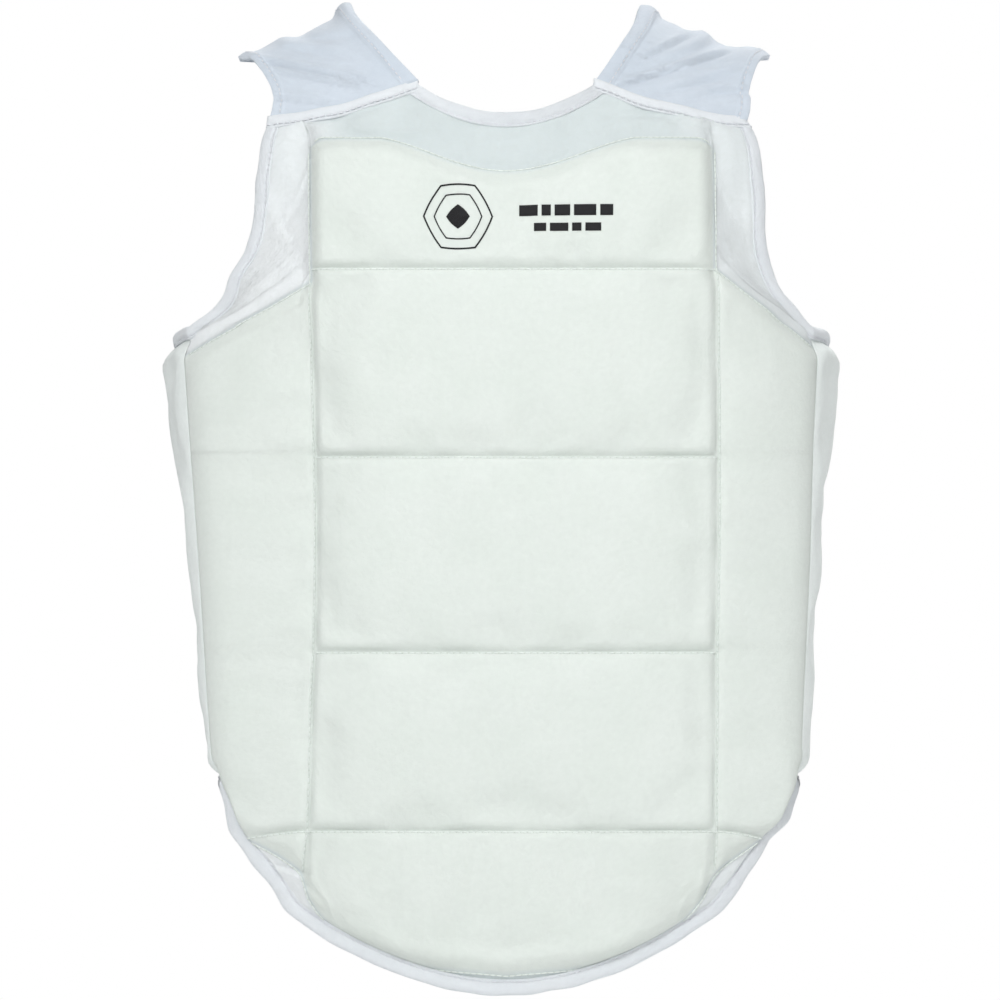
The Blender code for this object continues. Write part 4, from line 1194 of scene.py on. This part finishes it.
def shoulder_place(side, across, turn, depth):
    """Point of a shoulder at a depth under its cloth; across and turn as in shoulder_base."""
    across, turn, depth = np.broadcast_arrays(across, turn, depth)
    neck, arm, top = SHOULDER_NECK[side], SHOULDER_ARM[side], SHOULDER_TOP[side]
    point = shoulder_base(across, clip(turn, 0, 2))
    seam_z = shoulder_base(across, zeros_like(turn))[..., 2]
    fold = shoulder_base(across, np.ones_like(turn))
    climb = clip((point[..., 2] - seam_z) / (fold[..., 2] - seam_z), 0, 1)
    climb = 1 - (1 - climb) ** 0.9
    # the front half is filled in between its four edges
    a, c = across[..., None], climb[..., None]
    seam_x = lerp(neck[0][1], arm[0][1], across)
    between = lerp(stack(seam_x, seam_line(seam_x) + 0.0005), outline_point(top, across), c)
    edges = lerp(outline_point(neck, climb), outline_point(arm, climb), a)
    low = [np.array((knots[0][1], seam_line(knots[0][1]) + 0.0005)) for knots in (neck, arm)]
    high = [outline_point(top, share) for share in (0.0, 1.0)]
    view = between + edges - lerp(lerp(*low, a), lerp(*high, a), c)
    moved = outline_point(top, across) - stack(fold[..., 0], fold[..., 2] - HEM)
    fade = smooth((point[..., 2] - HEM - BACK_JOIN) / (fold[..., 2] - HEM - BACK_JOIN))[..., None]
    tuck = 0.004 * (1 - across)**3 - 0.012 * across**3
    tuck = tuck * smooth((turn - 1) / 0.1) * smooth((1.95 - turn) / 0.6)
    behind = point[..., [0, 2]] + moved * fade + stack(tuck, 0)
    x, z = np.moveaxis(where(turn[..., None] <= 1, view + np.array((0, HEM)), behind), -1, 0)
    safe = where(np.abs(turn - 1) < 0.02, 0.98, clip(turn, 1e-3, 2 - 1e-3))
    over = where(np.abs(turn - 1) < 0.02, 1.02, safe)
    inside = np.array((0.09, 0, -0.05))
    n = lerp(inward(shoulder_base, across, safe, inside), inward(shoulder_base, across, over, inside),
             smooth((turn - 0.98) / 0.04)[..., None])
    lift = 0.0005 * swell(across * 0.08, turn * 0.06, 0.022, 60 + side) * smooth(turn / 0.15)
    for fold in SHOULDER_CREASES[side]:
        lift = lift + crease(x, z - HEM, fold) * smooth((1.04 - turn) / 0.1)
    lift = lift + within(turn, 1.05, 1.95, 0.2) * 0.0011 * swell(across * 0.08, turn * 0.02, 0.024, 70 + side)
    point = stack(x, point[..., 1], z) - unit(n) * (lift - depth)[..., None]
    point[..., 0] *= side
    return point


def shoulder_width(turn):
    return lerp(*SHOULDER_WIDTHS, minimum(turn, 1))


def shoulder_hem(across, turn):
    """Extra thickness of the turned edges, with the dent of their stitching."""
    level = np.zeros(np.broadcast(across, turn).shape)
    for share, hem_width in zip((across, 1 - across), SHOULDER_HEMS):
        away = share * shoulder_width(turn) - hem_width
        level = level + 0.0009 * smooth(-away / 0.0012) - 0.0006 * exp(-((away + HEM_STITCH) / 0.0007) ** 2)
    return level


edge_steps = concatenate([linspace(*part) for part in (
    (0, 0.02, 5), (0.07, 0.14, 8), (0.17, 0.86, 24), (0.88, 0.95, 8), (0.985, 1, 4),
)])
turns = concatenate((linspace(0, 0.9, 44), linspace(0.92, 1.08, 17), linspace(1.1, 2, 46)))
turn, across = grid(turns, edge_steps)
hem_lift = shoulder_hem(across, turn)
run = linspace(0.03, 1.97, 160)
x = linspace(NECK_HALF, ARM_SEAM_HALF, 60)
for side, word in SIDES:
    place = partial(shoulder_place, side)
    depths = (-0.0004 - hem_lift, 0.0012 + hem_lift * 0.5)
    shoulder = cloth_piece(f"shoulder_panel_{word}", place, across, turn, depths, [STRETCH],
                           "stretch_fabric", f"shoulder_{word}", f"back_shoulder_{word}")
    neck_row, arm_row = ((hem_width - HEM_STITCH) / shoulder_width(run) for hem_width in SHOULDER_HEMS)
    lines = []
    for at in (neck_row, 1 - arm_row):
        level = -0.0008 - shoulder_hem(at, run)
        lines.append(row_on(place, at, run, level, level + 0.001))
    stitches = stitches_piece(f"stitches_shoulder_{word}", lines, BAND_THREAD, (0.0024, 0.0008, 0.0006))
    for piece in (shoulder, stitches):
        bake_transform(piece)
    seam = seam_line(x) + 0.0007 * swell(x, x * 0, 0.03, 80 + side)
    tape = band_piece(f"shoulder_tape_piece_{word}", (side * x, seam + 0.003), (side * x, seam - 0.0045),
                      lambda x, h, d: front_place(x, h, d * 0.7 - 0.0009), 90 + side, wave=0.0002)
    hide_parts(f"shoulder_tape_{word}")
    line = (front_place(side * x, seam - 0.0028, -0.0021), np.tile((0.0, -1.0, 0.2), (len(x), 1)))
    for piece in (tape, stitches_piece(f"stitches_tape_{word}", [line], BAND_THREAD)):
        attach(piece, "front")

# ---- back ----
BACK_TOP_HALF = BACK_JOIN_HALF[1] - BINDING_WIDTH
BACK_NECK_HALF = BACK_JOIN_HALF[0] + BINDING_WIDTH


def back_top(x):
    low = lerp(BACK_NECK_LOW - BINDING_WIDTH, BACK_JOIN, (x / BACK_NECK_HALF) ** 2)
    return where(np.abs(x) <= BACK_NECK_HALF, low, BACK_JOIN)


def back_edge(r, inset):
    h = lerp(BACK_LOW, BACK_JOIN, r)
    return curve_value(BACK_EDGE, h) - inset, h


row, column = grid(linspace(0, 1, 90), linspace(-1, 1, 72))
back_h = lerp(BACK_LOW, back_top(column * BACK_TOP_HALF) + TUCK, row)
back_x = column * back_edge(row, BINDING_WIDTH - TUCK)[0]
ripple = 0.001 * swell(back_x * 1.3, back_h * 0.25, 0.03, 31) * smooth((1 - np.abs(column)) / 0.2)
ripple = ripple * smooth(row / 0.1)
inside_edge = smooth(minimum((1 - np.abs(column)) * 0.08, (1 - row) * 0.25) / 0.004)
depths = (-0.0003 * inside_edge - ripple, 0.0014 - ripple)
back_panel = cloth_piece("back_panel_piece", back_place, back_x, back_h, depths, [STRETCH],
                         "stretch_fabric", "back_panel")
k = linspace(-1, 1, 60)
r = linspace(0, 1, 110)
neck_lines = ((BACK_JOIN_HALF[0] * k, lerp(BACK_NECK_LOW, BACK_JOIN, k * k)),
              (BACK_NECK_HALF * k, back_top(BACK_NECK_HALF * k * 0.9999)))
back_lines = []
bind("back_neck_band", neck_lines, back_place, 150, back_lines, "back")
for side, word in SIDES:
    armhole = mirror(side, back_edge(r, 0), back_edge(r, BINDING_WIDTH))
    bind(f"back_armhole_band_{word}", armhole, back_place, 160 + side, back_lines, "back")
web_h, web_x = grid(linspace(STRAP_LOW, STRAP_HIGH, 40), linspace(-0.0945, 0.0945, 120))
gather = 0.00035 * sin(web_h * 2 * pi / 0.0075) + 0.0002 * swell(web_x, web_h, 0.012, 33)
web = cloth_piece("waist_elastic_piece", back_place, web_x, web_h, (-0.0026 - gather, -0.0007), [ELASTIC],
                  "elastic_web", "waist_elastic")
web_row = linspace(-0.093, 0.093, 120)
join_row = linspace(BACK_JOIN_HALF[0] + 0.004, BACK_JOIN_HALF[1] - 0.004, 40)
for x, h, depth, up in (
    (web_row, STRAP_LOW + 0.003, -0.0029, 0.0), (web_row, STRAP_HIGH - 0.003, -0.0029, 0.0),
    (join_row, BACK_JOIN - 0.004, -0.0006, 0.2), (-join_row, BACK_JOIN - 0.004, -0.0006, 0.2),
):
    back_lines.append((back_place(x, h, depth), np.tile((0.0, 1.0, up), (len(x), 1))))
back_stitches = stitches_piece("stitches_back", back_lines, BAND_THREAD)
label_h, label_x = grid(linspace(0.395, 0.425, 14), linspace(-0.02, 0.02, 18))
curl = 0.001 * smooth((0.402 - label_h) / 0.008)
label = cloth_piece("size_label_piece", back_place, label_x, label_h, (0.003 + curl, 0.0025 + curl), [LABEL],
                    "label_fabric", "size_label")
for piece in (back_panel, web, back_stitches, label):
    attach(piece, "back")

# ---- straps ----
WING_START = 0.4
STRAP_ON_WING = (0.945, 0.8)
STRAP_BASE = PAD_RISE + 0.0036
JOIN_DEPTH = BACK_DEPTH - 0.0047 - 0.0085


def strap_place(side, u, h, lift):
    """Point of a strap from the back panel's edge, u = 0, round the wing's rear end, u = 1."""
    wing_share = lerp(*STRAP_ON_WING, clip((u - WING_START) / (1 - WING_START), 0, 1))
    wing = wing_place(1, wing_share * WING_LENGTH, h, -lift)
    join = stack(BACK_HALF + 0.0008, JOIN_DEPTH + lift, h + HEM)
    ease = clip(u / WING_START, 0, 1)[..., None]
    first = lerp(join, wing_place(1, STRAP_ON_WING[0] * WING_LENGTH, h, -lift), ease)
    return where((u < WING_START)[..., None], first, wing) * np.array((side, 1, 1))


strap_h, strap_u = grid(linspace(STRAP_LOW, STRAP_HIGH, 34), linspace(0, 1, 64))
rib = 0.00025 * sin(strap_h * 2 * pi / 0.006) * smooth(strap_u / 0.1)
tab_h, tab_u = grid(linspace(STRAP_LOW + 0.004, STRAP_HIGH - 0.004, 26), linspace(0.5, 0.97, 24))
long_row, short_row = linspace(0.48, 0.985, 60), linspace(STRAP_LOW + 0.006, STRAP_HIGH - 0.006, 40)
for side, word in SIDES:
    place = partial(strap_place, side)
    strap = cloth_piece(f"strap_web_{word}", place, strap_u, strap_h, (STRAP_BASE + 0.0014 + rib, STRAP_BASE),
                        [ELASTIC], "elastic_web", f"strap_{word}")
    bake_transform(strap)
    tab = cloth_piece(f"hook_pad_{word}", place, tab_u, tab_h, (STRAP_BASE - 0.0004, STRAP_BASE - 0.0015),
                      [HOOK], "hook_tape", f"hook_tab_{word}")
    lines = []
    for u, h in ((long_row, short_row[0]), (long_row, short_row[-1]), (0.48, short_row), (0.985, short_row)):
        lines.append(row_on(place, *np.broadcast_arrays(u, h), STRAP_BASE + 0.0016, STRAP_BASE))
    for piece in (tab, stitches_piece(f"stitches_strap_{word}", lines, THREAD)):
        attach(piece, f"{word}_strap")

# ---- floor, light and camera ----
FLOOR_RADIUS = 1.25
FLOOR_DROP = 0.07
turn = linspace(0, 2 * pi, 97)[:-1]
disc = stack(FLOOR_RADIUS * cos(turn), FLOOR_RADIUS * sin(turn), HEM - FLOOR_DROP)
floor_paint = plain("floor_paint", (0.86, 0.86, 0.86), 0.9)
make_mesh("floor", disc, [list(range(len(disc)))], [floor_paint])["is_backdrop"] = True

scene = bpy.context.scene
scene.view_settings.view_transform = "Standard"
world = bpy.data.worlds.new("studio")
scene.world = world
world.use_nodes = True
tree = world.node_tree
dim, bright = tree.nodes["Background"], tree.nodes.new("ShaderNodeBackground")
fill(tree, dim, {"Color": (1, 1, 1), "Strength": 0.37})
fill(tree, bright, {"Color": (1, 1, 1), "Strength": 1.0})
choose = tree.nodes.new("ShaderNodeMixShader")
camera_ray = tree.nodes.new("ShaderNodeLightPath").outputs[0]
fill(tree, choose, {0: camera_ray, 1: dim.outputs[0], 2: bright.outputs[0]})
fill(tree, tree.nodes["World Output"], {"Surface": choose.outputs[0]})

CENTRE = Vector((0.0, 0.0, -0.04))
for name, location, size, watts in (
    ("key", (-0.75, -2.05, 1.2), 0.8, 33.5), ("top", (0.4, -1.0, 2.2), 1.0, 12.0),
    ("fill", (1.7, -1.8, -0.1), 1.6, 13.5), ("back_key", (0.7, 2.0, 1.5), 1.4, 50.0),
):
    light = bpy.data.lights.new(name, "AREA")
    light.size = size
    light.energy = watts
    lamp = bpy.data.objects.new(name, light)
    scene.collection.objects.link(lamp)
    lamp.location = location
    lamp.rotation_euler = (CENTRE - Vector(location)).to_track_quat("-Z", "Y").to_euler()
    lamp.visible_camera = False

VIEW_DISTANCE = 12.0
VIEW_WIDTH = 0.58
VIEW_CENTRE = (-0.0035, -0.043)
OUTLINE_DEPTH = 0.07
camera = bpy.data.objects.new("camera", bpy.data.cameras.new("camera"))
scene.collection.objects.link(camera)
camera.data.sensor_width = 36.0
camera.data.lens = camera.data.sensor_width * (VIEW_DISTANCE - OUTLINE_DEPTH) / VIEW_WIDTH
camera.data.clip_end = 50.0
camera.location = (VIEW_CENTRE[0], -VIEW_DISTANCE, VIEW_CENTRE[1])
camera.rotation_euler = (pi / 2, 0, 0)
scene.camera = camera

low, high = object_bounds()
